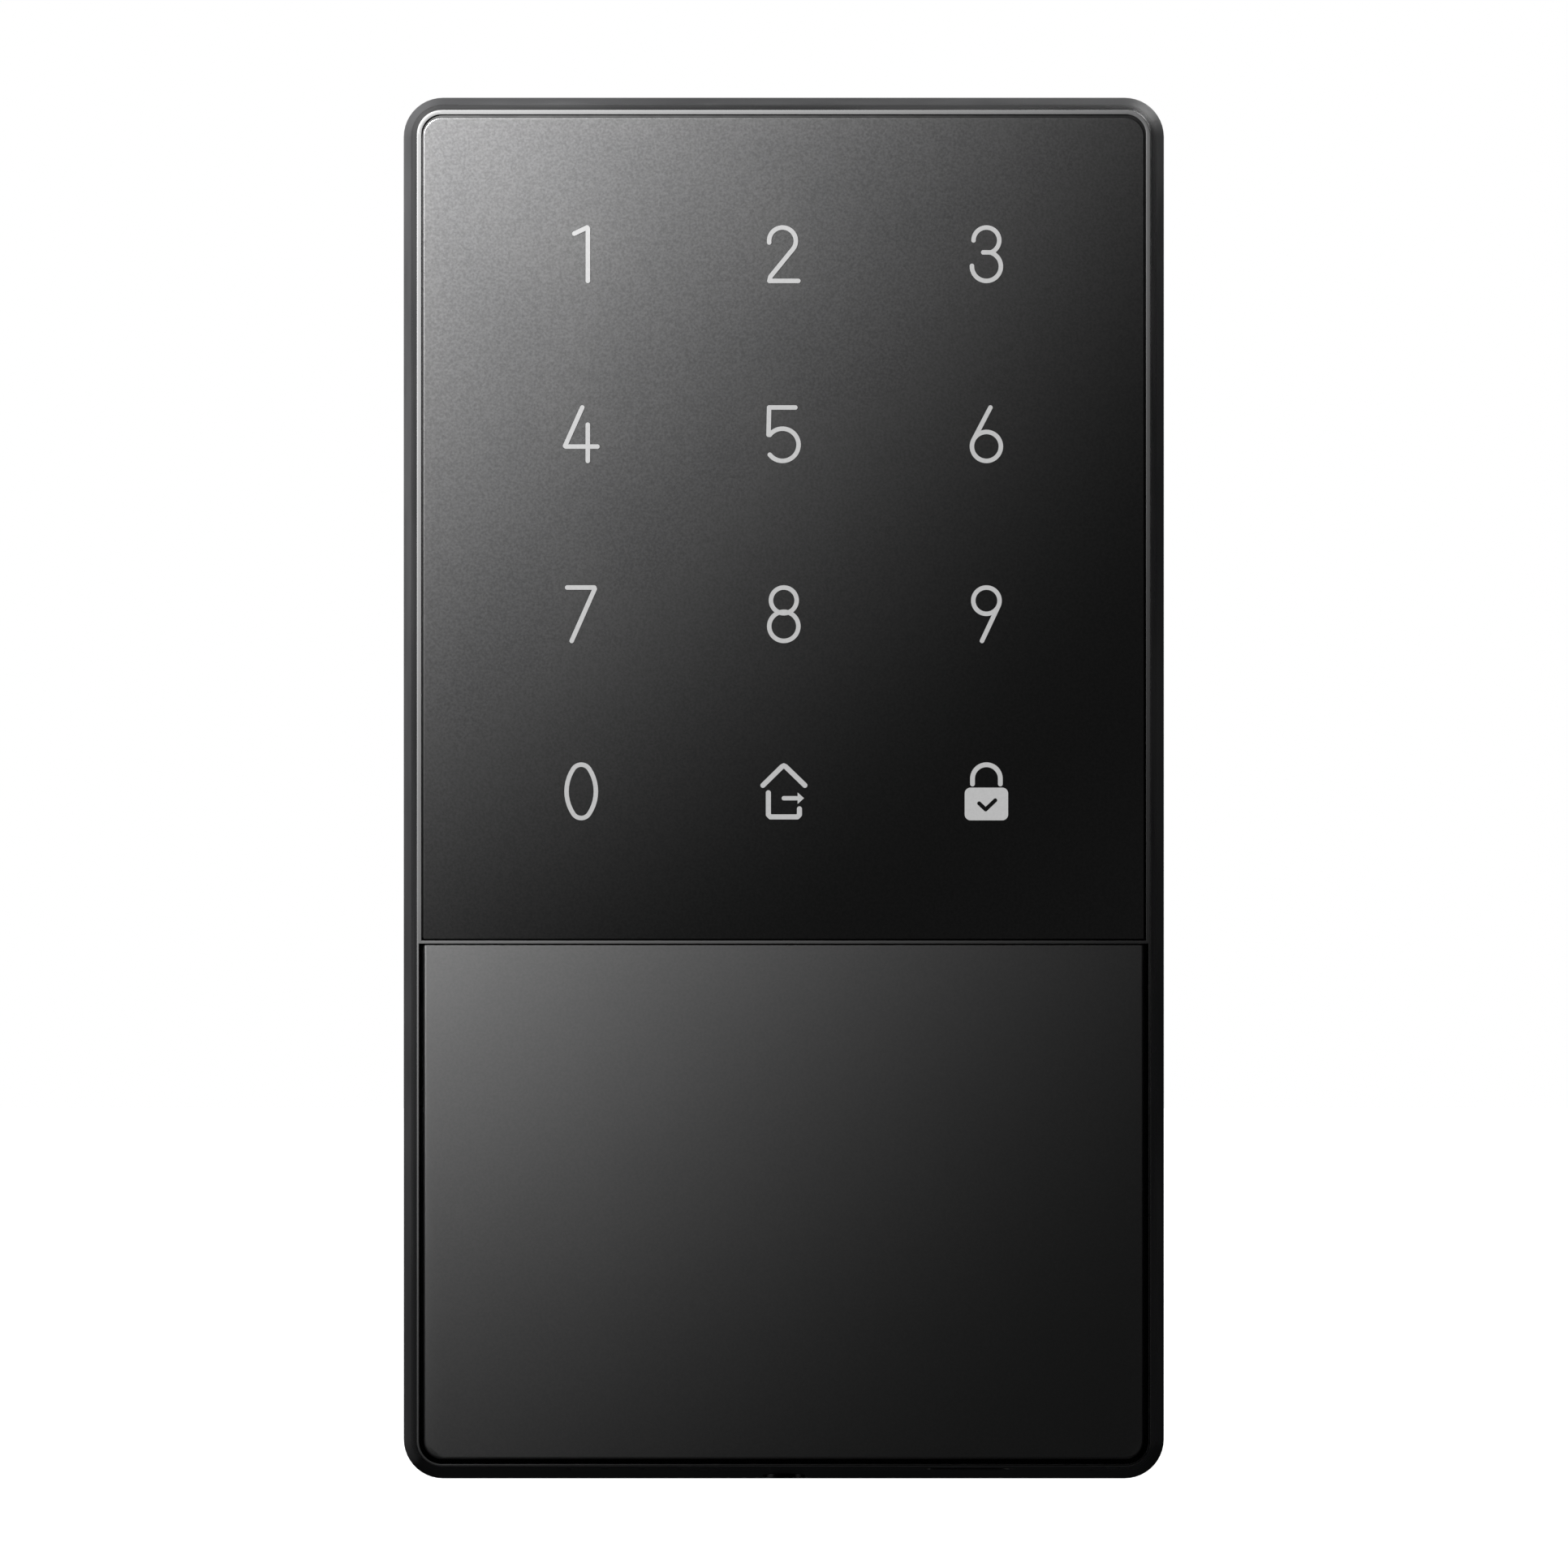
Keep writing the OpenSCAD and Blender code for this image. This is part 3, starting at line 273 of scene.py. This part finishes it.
def corner_arc(cx, cz, r, start, steps):
    angles = [start + math.pi / 2 * i / steps for i in range(steps + 1)]
    return [(cx + r * math.cos(a), cz + r * math.sin(a)) for a in angles]


def panel_ring(low, high, r_low, r_high, inset, steps=14):
    """Rounded outline in X and Z between two corners, moved in by inset."""
    x0, x1, z0, z1 = low[0] + inset, high[0] - inset, low[1] + inset, high[1] - inset
    a, b = max(r_low - inset, 0.01 * MM), max(r_high - inset, 0.01 * MM)
    quarter = math.pi / 2
    corners = [
        (x1 - b, z1 - b, b), (x0 + b, z1 - b, b),
        (x0 + a, z0 + a, a), (x1 - a, z0 + a, a),
    ]
    return [p for n, (cx, cz, r) in enumerate(corners) for p in corner_arc(cx, cz, r, n * quarter, steps)]


def loft(name, rings):
    """A closed solid through rings of points, all with the same count."""
    bm = bmesh.new()
    made = [[bm.verts.new(p) for p in ring] for ring in rings]
    count = len(rings[0])
    for near, far in zip(made, made[1:]):
        for i in range(count):
            bm.faces.new((near[i], near[(i + 1) % count], far[(i + 1) % count], far[i]))
    bm.faces.new(made[0])
    bm.faces.new(made[-1])
    finish_mesh(bm)
    piece = new_object(name, bm)
    even_normals(piece)
    return piece


def turned(name, profile, places, steps=48):
    """A lathe-turned shape for each (x, y, z, direction along X), joined as one piece."""
    bm = bmesh.new()
    for x, y, z, way in places:
        rings = []
        for along, r in profile:
            if r == 0:
                rings.append([bm.verts.new((x + way * along, y, z))])
                continue
            angles = (2 * math.pi * i / steps for i in range(steps))
            ring = [(x + way * along, y + r * math.cos(a), z + r * math.sin(a)) for a in angles]
            rings.append([bm.verts.new(p) for p in ring])
        for near, far in zip(rings, rings[1:]):
            for i in range(steps):
                j = (i + 1) % steps
                corners = [near[i % len(near)], near[j % len(near)], far[j % len(far)], far[i % len(far)]]
                bm.faces.new(list(dict.fromkeys(corners)))
    finish_mesh(bm)
    return new_object(name, bm)


def tube(name, lines, radius):
    """Round wire along each list of points."""
    data = bpy.data.curves.new(name, "CURVE")
    data.dimensions = "3D"
    data.bevel_depth = radius
    data.bevel_resolution = 4
    data.use_fill_caps = True
    for points in lines:
        spline = data.splines.new("POLY")
        spline.points.add(len(points) - 1)
        for point, place in zip(spline.points, points):
            point.co = (*place, 1)
    obj = bpy.data.objects.new(name, data)
    bpy.context.scene.collection.objects.link(obj)
    return obj


# ---------- materials ----------

class Look:
    """One procedural material, made of a few kinds of node over the object's own coordinates."""

    def __init__(self, name):
        self.material = bpy.data.materials.new(name)
        self.material.use_nodes = True
        self.tree = self.material.node_tree
        self.shader = self.tree.nodes["Principled BSDF"]
        self.place = self.node("ShaderNodeTexCoord").outputs["Object"]

    def node(self, kind, **settings):
        made = self.tree.nodes.new(kind)
        for key, value in settings.items():
            setattr(made, key, value)
        return made

    def join(self, source, target):
        self.tree.links.new(source, target)

    def link(self, source, name):
        self.join(source, self.shader.inputs[name])

    def set(self, roughness=None, specular=None, metallic=None, colour=None, **others):
        named = {"Roughness": roughness, "Specular IOR Level": specular, "Metallic": metallic}
        named.update({key.replace("_", " ").title(): value for key, value in others.items()})
        for key, value in named.items():
            if value is not None:
                self.shader.inputs[key].default_value = value
        if colour is not None:
            self.shader.inputs["Base Color"].default_value = (*colour, 1)

    def stretched(self, x, y, z):
        mapping = self.node("ShaderNodeMapping")
        mapping.inputs["Scale"].default_value = (x, y, z)
        self.join(self.place, mapping.inputs["Vector"])
        return mapping.outputs[0]

    def noise(self, scale, detail=2, place=None, rough=0.5):
        made = self.node("ShaderNodeTexNoise")
        made.inputs["Scale"].default_value = scale
        made.inputs["Detail"].default_value = detail
        made.inputs["Roughness"].default_value = rough
        self.join(place or self.place, made.inputs["Vector"])
        return made.outputs["Fac"]

    def cells(self, scale, feature="F1", output="Distance", place=None):
        made = self.node("ShaderNodeTexVoronoi", feature=feature)
        made.inputs["Scale"].default_value = scale
        self.join(place or self.place, made.inputs["Vector"])
        return made.outputs[output]

    def span(self, source, low, high, to_low, to_high):
        made = self.node("ShaderNodeMapRange", interpolation_type="SMOOTHSTEP")
        self.join(source, made.inputs["Value"])
        for key, value in (("From Min", low), ("From Max", high), ("To Min", to_low), ("To Max", to_high)):
            made.inputs[key].default_value = value
        return made.outputs[0]

    def ramp(self, source, *stops):
        made = self.node("ShaderNodeValToRGB")
        while len(made.color_ramp.elements) < len(stops):
            made.color_ramp.elements.new(0.5)
        for element, (place, colour) in zip(made.color_ramp.elements, stops):
            element.position = place
            element.color = (*colour, 1)
        self.join(source, made.inputs["Fac"])
        return made.outputs["Color"]

    def math(self, operation, a, b):
        made = self.node("ShaderNodeMath", operation=operation)
        for socket, value in zip(made.inputs, (a, b)):
            if isinstance(value, (int, float)):
                socket.default_value = value
            else:
                self.join(value, socket)
        return made.outputs[0]

    def mix(self, factor, a, b):
        """Colour a where factor is 0, b where it is 1."""
        made = self.node("ShaderNodeMix", data_type="RGBA")
        self.join(factor, made.inputs["Factor"])
        for socket, value in ((made.inputs[6], a), (made.inputs[7], b)):
            if isinstance(value, tuple):
                socket.default_value = (*value, 1)
            else:
                self.join(value, socket)
        return made.outputs[2]

    def axis(self, name):
        made = self.node("ShaderNodeSeparateXYZ")
        self.join(self.place, made.inputs[0])
        return made.outputs[name]

    def edges(self, radius=0.15 * MM):
        """1 on edges and 0 on flat faces, for wear and lighter corners."""
        rounded = self.node("ShaderNodeBevel", samples=3)
        rounded.inputs["Radius"].default_value = radius
        face = self.node("ShaderNodeNewGeometry").outputs["Normal"]
        dot = self.node("ShaderNodeVectorMath", operation="DOT_PRODUCT")
        self.join(rounded.outputs[0], dot.inputs[0])
        self.join(face, dot.inputs[1])
        return self.span(dot.outputs["Value"], 0.99, 0.86, 0, 1)

    def bump(self, *layers):
        """Layers of (height, strength, depth in metres), each on top of the last."""
        normal = None
        for height, strength, depth in layers:
            made = self.node("ShaderNodeBump")
            made.inputs["Strength"].default_value = strength
            made.inputs["Distance"].default_value = depth
            self.join(height, made.inputs["Height"])
            if normal:
                self.join(normal, made.inputs["Normal"])
            normal = made.outputs[0]
        self.link(normal, "Normal")


def shade(colour, factor):
    return tuple(min(1, c * factor) for c in colour)


def moulded(name, colour, roughness, grain=9000, depth=0.012, wear=0.0, specular=0.5, rim=0.0):
    """Injection-moulded plastic: spark-eroded grain, slow flow marks and slightly polished edges.
    rim is how much rougher the narrow front edge round the glass is than the sides."""
    look = Look(name)
    flow = look.noise(60, 3)
    tint = look.ramp(flow, (0.3, shade(colour, 0.82)), (0.7, shade(colour, 1.2)))
    speck = look.span(look.noise(5200, 2), 0.62, 0.8, 0, 1)
    tint = look.mix(speck, tint, shade(colour, 1.7))
    if wear:
        worn = look.math("MULTIPLY", look.edges(), look.span(look.noise(900, 3), 0.35, 0.65, 0.2, 1))
        worn = look.math("MULTIPLY", worn, wear)
        tint = look.mix(worn, tint, shade(colour, 2.6))
    look.link(tint, "Base Color")
    handled = look.span(look.noise(38, 4, rough=0.6), 0.3, 0.7, roughness - 0.035, roughness + 0.045)
    if rim:
        extra = look.span(look.axis("Y"), front_y + 0.1 * MM, front_y + 0.2 * MM, rim, 0)
        handled = look.math("ADD", handled, extra)
    if wear:
        handled = look.math("SUBTRACT", handled, look.math("MULTIPLY", worn, 0.1))
    look.link(handled, "Roughness")
    look.set(specular=specular)
    fine = look.noise(grain, 2, rough=0.6)
    look.bump((fine, 0.35, depth * MM), (look.noise(grain / 3.2, 1), 0.2, depth * MM))
    return look


def metal(name, colour, roughness, brushed=(1, 1, 1), scratch=0.3, tarnish=0.75):
    """Plated or drawn metal with a grain along one direction and duller patches."""
    look = Look(name)
    cloud = look.noise(700, 4, rough=0.65)
    look.link(look.ramp(cloud, (0.3, shade(colour, tarnish)), (0.65, colour)), "Base Color")
    line = look.noise(9000, 2, place=look.stretched(*brushed))
    rough = look.math("ADD", look.span(cloud, 0.3, 0.7, roughness + 0.12, roughness - 0.04),
                      look.span(line, 0.3, 0.7, -0.03, 0.05))
    look.link(rough, "Roughness")
    look.set(metallic=1.0)
    look.bump((line, scratch, 0.004 * MM), (look.noise(2600, 2), 0.15, 0.006 * MM))
    return look


def blackened(look):
    """Black oxide on the locking screw, low in the housing's underside, and bare steel on the others."""
    bare = look.shader.inputs["Base Color"].links[0].from_socket
    low = look.math("LESS_THAN", look.axis("Z"), base_z + 10 * MM)
    look.link(look.mix(low, bare, (0.006, 0.006, 0.0065)), "Base Color")
    look.link(look.math("SUBTRACT", 1, look.math("MULTIPLY", low, 0.8)), "Metallic")
    return look


def soft(name, colour, roughness, grain=3200, depth=0.02, sheen=0.0, specular=0.35):
    """Rubber, tape or wire insulation."""
    look = Look(name)
    cloud = look.noise(420, 3)
    look.link(look.ramp(cloud, (0.3, shade(colour, 0.8)), (0.7, shade(colour, 1.15))), "Base Color")
    look.link(look.span(look.noise(1500, 2), 0.3, 0.7, roughness - 0.06, roughness + 0.06), "Roughness")
    look.set(specular=specular, sheen_weight=sheen)
    look.bump((look.noise(grain, 3), 0.3, depth * MM))
    return look


def touch_glass():
    """Etched glass with black print behind it: a fine sparkle in the etch, and faint finger haze."""
    look = Look("touch_glass")
    etch = look.noise(3600, 3, rough=0.75)
    fine = look.noise(9000, 1)
    look.link(look.ramp(etch, (0.3, (0.0002, 0.0002, 0.0002)), (0.7, (0.0018, 0.0018, 0.0019))), "Base Color")
    look.link(look.span(etch, 0.3, 0.7, 0.45, 0.55), "Specular IOR Level")
    haze = look.span(look.noise(30, 3), 0.35, 0.7, -0.004, 0.006)
    grain = look.span(etch, 0.3, 0.7, 0.41, 0.43)
    look.link(look.math("ADD", haze, grain), "Roughness")
    look.bump((etch, 1, 0.004 * MM), (fine, 1, 0.002 * MM))
    return look


def cover_paint():
    """Soft satin lacquer over the cover's plastic, finer and calmer than the glass."""
    look = Look("cover_paint")
    spray = look.noise(3600, 3, rough=0.7)
    orange_peel = look.noise(900, 1)
    tone = look.ramp(spray, (0.3, (0.0006, 0.0006, 0.00065)), (0.7, (0.001, 0.001, 0.00105)))
    look.link(tone, "Base Color")
    look.link(look.span(spray, 0.3, 0.7, 0.475, 0.525), "Specular IOR Level")
    haze = look.span(look.noise(34, 3), 0.35, 0.7, -0.004, 0.006)
    look.link(look.math("ADD", haze, look.span(spray, 0.3, 0.7, 0.41, 0.43)), "Roughness")
    look.bump((spray, 1, 0.003 * MM), (orange_peel, 0.05, 0.01 * MM))
    return look


def legend_print():
    """White ceramic ink, lit evenly from behind through the glass."""
    look = Look("legend_print")
    ink = look.noise(4200, 3, rough=0.7)
    tone = look.ramp(ink, (0.25, (0.9, 0.9, 0.9)), (0.75, (1, 1, 1)))
    look.link(look.ramp(ink, (0.3, (0.005, 0.005, 0.005)), (0.7, (0.008, 0.008, 0.008))), "Base Color")
    look.link(tone, "Emission Color")
    look.set(roughness=0.5, specular=0.25, emission_strength=0.5)
    look.bump((ink, 0.15, 0.004 * MM))
    return look


def cell_wrap():
    """Printed shrink sleeve of a cell: dark body, copper band at one end, fine seam and gloss."""
    look = Look("cell_wrap")
    x = look.axis("X")
    z = look.axis("Z")
    row = look.math("FLOOR", look.math("DIVIDE", look.math("SUBTRACT", z, CELL_ROWS_Z), CELL_PITCH), 0)
    odd = look.math("MODULO", look.math("ADD", row, 20), 2)
    way = look.math("SUBTRACT", look.math("MULTIPLY", odd, 2), 1)
    along = look.math("MULTIPLY", x, way)
    band = look.math("GREATER_THAN", along, 11 * MM)
    ring = look.math("COMPARE", along, 10.4 * MM)
    look.tree.nodes[-1].inputs[2].default_value = 0.35 * MM
    cloud = look.noise(240, 3)
    body = look.ramp(cloud, (0.3, (0.012, 0.05, 0.035)), (0.7, (0.018, 0.07, 0.048)))
    copper = look.ramp(cloud, (0.3, (0.42, 0.16, 0.06)), (0.7, (0.55, 0.23, 0.09)))
    tint = look.mix(ring, look.mix(band, body, copper), (0.75, 0.75, 0.72))
    look.link(tint, "Base Color")
    look.link(look.span(look.noise(500, 3), 0.3, 0.7, 0.24, 0.36), "Roughness")
    look.link(look.math("MULTIPLY", band, 0.55), "Metallic")
    look.set(coat_weight=0.5, coat_roughness=0.12)
    look.bump((look.noise(800, 2, place=look.stretched(0.2, 1, 1)), 0.2, 0.02 * MM))
    return look


def board_green():
    """Solder mask with copper runs showing through and tinned pads."""
    look = Look("board_green")
    runs = look.span(look.cells(420, "DISTANCE_TO_EDGE"), 0.02, 0.07, 1, 0)
    pads = look.span(look.cells(760), 0.16, 0.2, 1, 0)
    chosen = look.math("GREATER_THAN", look.noise(300, 1), 0.56)
    pads = look.math("MULTIPLY", pads, chosen)
    mask = look.mix(runs, (0.006, 0.05, 0.02), (0.02, 0.12, 0.045))
    look.link(look.mix(pads, mask, (0.62, 0.6, 0.55)), "Base Color")
    look.link(pads, "Metallic")
    look.link(look.span(look.noise(900, 2), 0.3, 0.7, 0.26, 0.4), "Roughness")
    look.bump((runs, 0.3, 0.03 * MM), (pads, 0.3, 0.02 * MM))
    return look


def woven(name, colour):
    """Fine acoustic mesh."""
    look = Look(name)
    threads = []
    for direction in ("X", "Y"):
        wave = look.node("ShaderNodeTexWave", bands_direction=direction)
        wave.inputs["Scale"].default_value = 900
        look.join(look.place, wave.inputs["Vector"])
        threads.append(wave.outputs["Fac"])
    weave = look.math("MULTIPLY", *threads)
    look.link(look.ramp(weave, (0.1, shade(colour, 0.3)), (0.7, colour)), "Base Color")
    look.set(roughness=0.7, sheen_weight=0.3)
    look.bump((weave, 0.6, 0.05 * MM))
    return look


def clear(name, colour, roughness, transmission):
    """Clear or tinted film and light guide."""
    look = Look(name)
    cloud = look.noise(200, 3)
    look.link(look.ramp(cloud, (0.3, shade(colour, 0.9)), (0.7, colour)), "Base Color")
    look.link(look.span(look.noise(600, 2), 0.3, 0.7, roughness - 0.03, roughness + 0.05), "Roughness")
    look.set(transmission_weight=transmission)
    look.bump((look.noise(1400, 2), 0.1, 0.01 * MM))
    return look


cans_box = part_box("battery_cans")
CELL_R = (cans_box[1].y - cans_box[0].y) / 2
CELL_PITCH = (cans_box[1].z - cans_box[0].z - 2 * CELL_R) / 3
CELL_ROWS_Z = cans_box[0].z + CELL_R - CELL_PITCH / 2
CELL_LENGTH = 43.3 * MM   # without the nub


def make_materials():
    looks = {
        "plate_plastic": moulded("plate_plastic", (0.02, 0.02, 0.021), 0.56, 5200, 0.03, 0.25),
        "housing_plastic": moulded("housing_plastic", (0.004, 0.004, 0.0042), 0.335, 7000, 0.008, 0.1),
        "frame_plastic": moulded("frame_plastic", (0.002, 0.002, 0.0021), 0.27, 9000, 0.004, rim=0.38),
        "tray_plastic": moulded("tray_plastic", (0.014, 0.014, 0.015), 0.5, 5200, 0.03, 0.25),
        "white_plastic": moulded("white_plastic", (0.72, 0.72, 0.7), 0.42, 5200, 0.015),
        "cream_plastic": moulded("cream_plastic", (0.72, 0.67, 0.55), 0.45, 5200, 0.015),
        "led_package": moulded("led_package", (0.85, 0.8, 0.55), 0.35, 5200, 0.01),
        "chip_black": moulded("chip_black", (0.012, 0.012, 0.013), 0.5, 4200, 0.02),
        "ceramic_parts": moulded("ceramic_parts", (0.34, 0.24, 0.16), 0.5, 4200, 0.02),
        "cone_film": moulded("cone_film", (0.55, 0.5, 0.42), 0.5, 2400, 0.02),
        "seal_rubber": soft("seal_rubber", (0.03, 0.03, 0.032), 0.62, sheen=0.2),
        "black_tape": soft("black_tape", (0.003, 0.003, 0.003), 0.55, 2400, specular=0.08),
        "wire_red": soft("wire_red", (0.55, 0.03, 0.02), 0.4),
        "wire_black": soft("wire_black", (0.01, 0.01, 0.01), 0.4),
        "copper": metal("copper", (0.85, 0.45, 0.28), 0.3, (1, 1, 0.1)),
        "gold_strip": metal("gold_strip", (0.85, 0.66, 0.32), 0.25, (0.1, 1, 1)),
        "tinned_steel": metal("tinned_steel", (0.66, 0.66, 0.67), 0.3, (0.1, 1, 1)),
        "screw_steel": blackened(metal("screw_steel", (0.5, 0.5, 0.51), 0.3, (1, 0.2, 1))),
        "spring_steel": metal("spring_steel", (0.68, 0.67, 0.65), 0.22, (1, 1, 0.2)),
        "nickel": metal("nickel", (0.72, 0.69, 0.63), 0.24, (1, 0.2, 1)),
        "capacitor_can": metal("capacitor_can", (0.6, 0.61, 0.63), 0.35, (1, 0.1, 1)),
        "amber_film": clear("amber_film", (0.75, 0.4, 0.08), 0.25, 0.4),
        "clear_plastic": clear("clear_plastic", (0.9, 0.92, 0.94), 0.15, 0.85),
        "touch_glass": touch_glass(),
        "cover_paint": cover_paint(),
        "legend_print": legend_print(),
        "cell_wrap": cell_wrap(),
        "board_green": board_green(),
        "mesh_cloth": woven("mesh_cloth", (0.05, 0.05, 0.05)),
    }
    return {slot: look.material for slot, look in looks.items()}


def paint_nodes(materials):
    """Every CAD node that stays takes the material of its own slot."""
    for obj in frame["nodes"].values():
        for slot in obj.material_slots:
            slot.material = materials[slot.material.name.split(".")[0]]


# ---------- outer shells ----------

def make_glass(materials):
    low, high = glass_box
    edge_r = 0.11 * MM
    top_r = 1.93 * MM
    foot_r = 0.12 * MM
    steps = 5
    profile = [(0, high.y), (0, low.y + edge_r)]
    for i in range(1, steps + 1):
        a = math.pi / 2 * i / steps
        profile.append((edge_r * (1 - math.cos(a)), low.y + edge_r * (1 - math.sin(a))))
    rings = [
        [(x, y, z) for x, z in panel_ring((low.x, low.z), (high.x, high.z), foot_r, top_r, inset)]
        for inset, y in profile
    ]
    panel = loft("glass_panel", rings)
    return dress(panel, "housing", "touch_glass", materials["touch_glass"], "keypad_glass")


def make_frame(materials):
    piece = refined("outer_frame", "front_frame")
    return dress(piece, "housing", "frame_plastic", materials["frame_plastic"], "front_frame")


def make_rear(materials):
    piece = refined("back_housing", "rear_housing")
    return dress(piece, "housing", "housing_plastic", materials["housing_plastic"], "rear_housing")


def make_cover(materials):
    piece = refined("battery_cover", "service_cover")
    return dress(piece, "cover", "cover_paint", materials["cover_paint"], "service_cover")


# ---------- cells and springs ----------

def cell_places():
    """(y, z, direction of the positive end) of each cell, from the top one down."""
    y = (cans_box[0].y + cans_box[1].y) / 2
    top = cans_box[1].z - CELL_R
    return [(y, top - i * CELL_PITCH, 1 if i % 2 == 0 else -1) for i in range(4)]


def make_cells(materials):
    end = cans_box[1].x
    tail = end - CELL_LENGTH
    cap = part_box("battery_caps")[1].x - end
    r = CELL_R
    sleeve = [
        (tail, 0), (tail, r - 1.1 * MM), (tail, r - 0.55 * MM), (tail + 0.12 * MM, r - 0.2 * MM),
        (tail + 0.4 * MM, r), (end - 2.6 * MM, r),
        (end - 2.2 * MM, r - 0.1 * MM), (end - 1.8 * MM, r - 0.1 * MM),
        (end - 1.4 * MM, r), (end - 0.45 * MM, r), (end - 0.12 * MM, r - 0.16 * MM), (end, r - 0.5 * MM),
        (end, r - 1.3 * MM), (end - 0.25 * MM, r - 1.5 * MM), (end - 0.25 * MM, 0),
    ]
    nub = [
        (end - 0.25 * MM, 0), (end - 0.25 * MM, 3.1 * MM), (end - 0.1 * MM, 3 * MM), (end, 2.2 * MM),
        (end + 0.1 * MM, 1.95 * MM), (end + cap - 0.25 * MM, 1.85 * MM), (end + cap - 0.06 * MM, 1.72 * MM),
        (end + cap, 1.5 * MM), (end + cap, 0),
    ]
    places = [(0, y, z, way) for y, z, way in cell_places()]
    cans = turned("cells", sleeve, places)
    dress(cans, "housing", "cell_wrap", materials["cell_wrap"], "battery_cans")
    caps = turned("cell_caps", nub, places)
    dress(caps, "housing", "nickel", materials["nickel"], "battery_caps")


def helix(place, r0, r1, length, turns, flat=0.75):
    """Points of a coil with closed ends: place takes (x, y, z) along, across and up the coil."""
    steps = 28 * turns
    points = []
    for i in range(steps + 1):
        t = i / steps
        turn = t * turns
        climb = min(max((turn - flat) / (turns - 2 * flat), 0), 1)
        a = 2 * math.pi * turn
        r = r0 + (r1 - r0) * climb
        points.append(place(length * climb, r * math.cos(a), r * math.sin(a)))
    return points


def make_springs(materials):
    wire_r = 0.3 * MM
    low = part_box("battery_springs")[0]
    start = low.x + wire_r
    length = cans_box[1].x - CELL_LENGTH - low.x - 2 * wire_r
    lines = []
    for y, z, way in cell_places():
        def place(along, across, up, y=y, z=z, way=way):
            return (way * (start + along), y + across, z + up)
        lines.append(helix(place, 3.2 * MM - wire_r, 2.2 * MM, length, 4))
    springs = tube("contact_springs", lines, wire_r)
    dress(springs, "housing", "spring_steel", materials["spring_steel"], "battery_springs")


def make_tamper_spring(materials):
    """Stands on the tamper switch as one fixed coil, as long as the CAD part; the real one shortens as the
    plunger is pressed in.
    """
    wire_r = 0.2 * MM
    low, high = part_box("tamper_spring")
    middle = (low + high) / 2
    free = high.y - low.y
    coil_r = (high.x - low.x) / 2 - wire_r

    def place(along, across, up):
        return (middle.x + across, low.y + wire_r + along, middle.z + up)

    line = helix(place, coil_r, coil_r, free - 2 * wire_r, 4)
    wire = tube("tamper_wire", [line], wire_r)
    bpy.context.view_layer.update()
    solid = wire.evaluated_get(bpy.context.evaluated_depsgraph_get())
    mesh = bpy.data.meshes.new_from_object(solid)
    bpy.data.objects.remove(wire)
    spring = bpy.data.objects.new("tamper_coil", mesh)
    bpy.context.scene.collection.objects.link(spring)
    dress(spring, "housing", "spring_steel", materials["spring_steel"], "tamper_spring")
    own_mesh(spring)


# ---------- the whole ----------

make_camera()
make_world()
materials = make_materials()
paint_nodes(materials)
glass = make_glass(materials)
shells = [make_frame(materials), make_rear(materials)]
cover = make_cover(materials)
make_cells(materials)
make_springs(materials)
make_tamper_spring(materials)
cover_nodes = [o for o in frame["nodes"].values() if o.get("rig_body") == "cover"]
make_lights(make_floor(), [glass, cover], [cover, *cover_nodes], shells)
bpy.context.scene.view_settings.view_transform = "Standard"
bpy.context.scene.view_settings.look = "None"
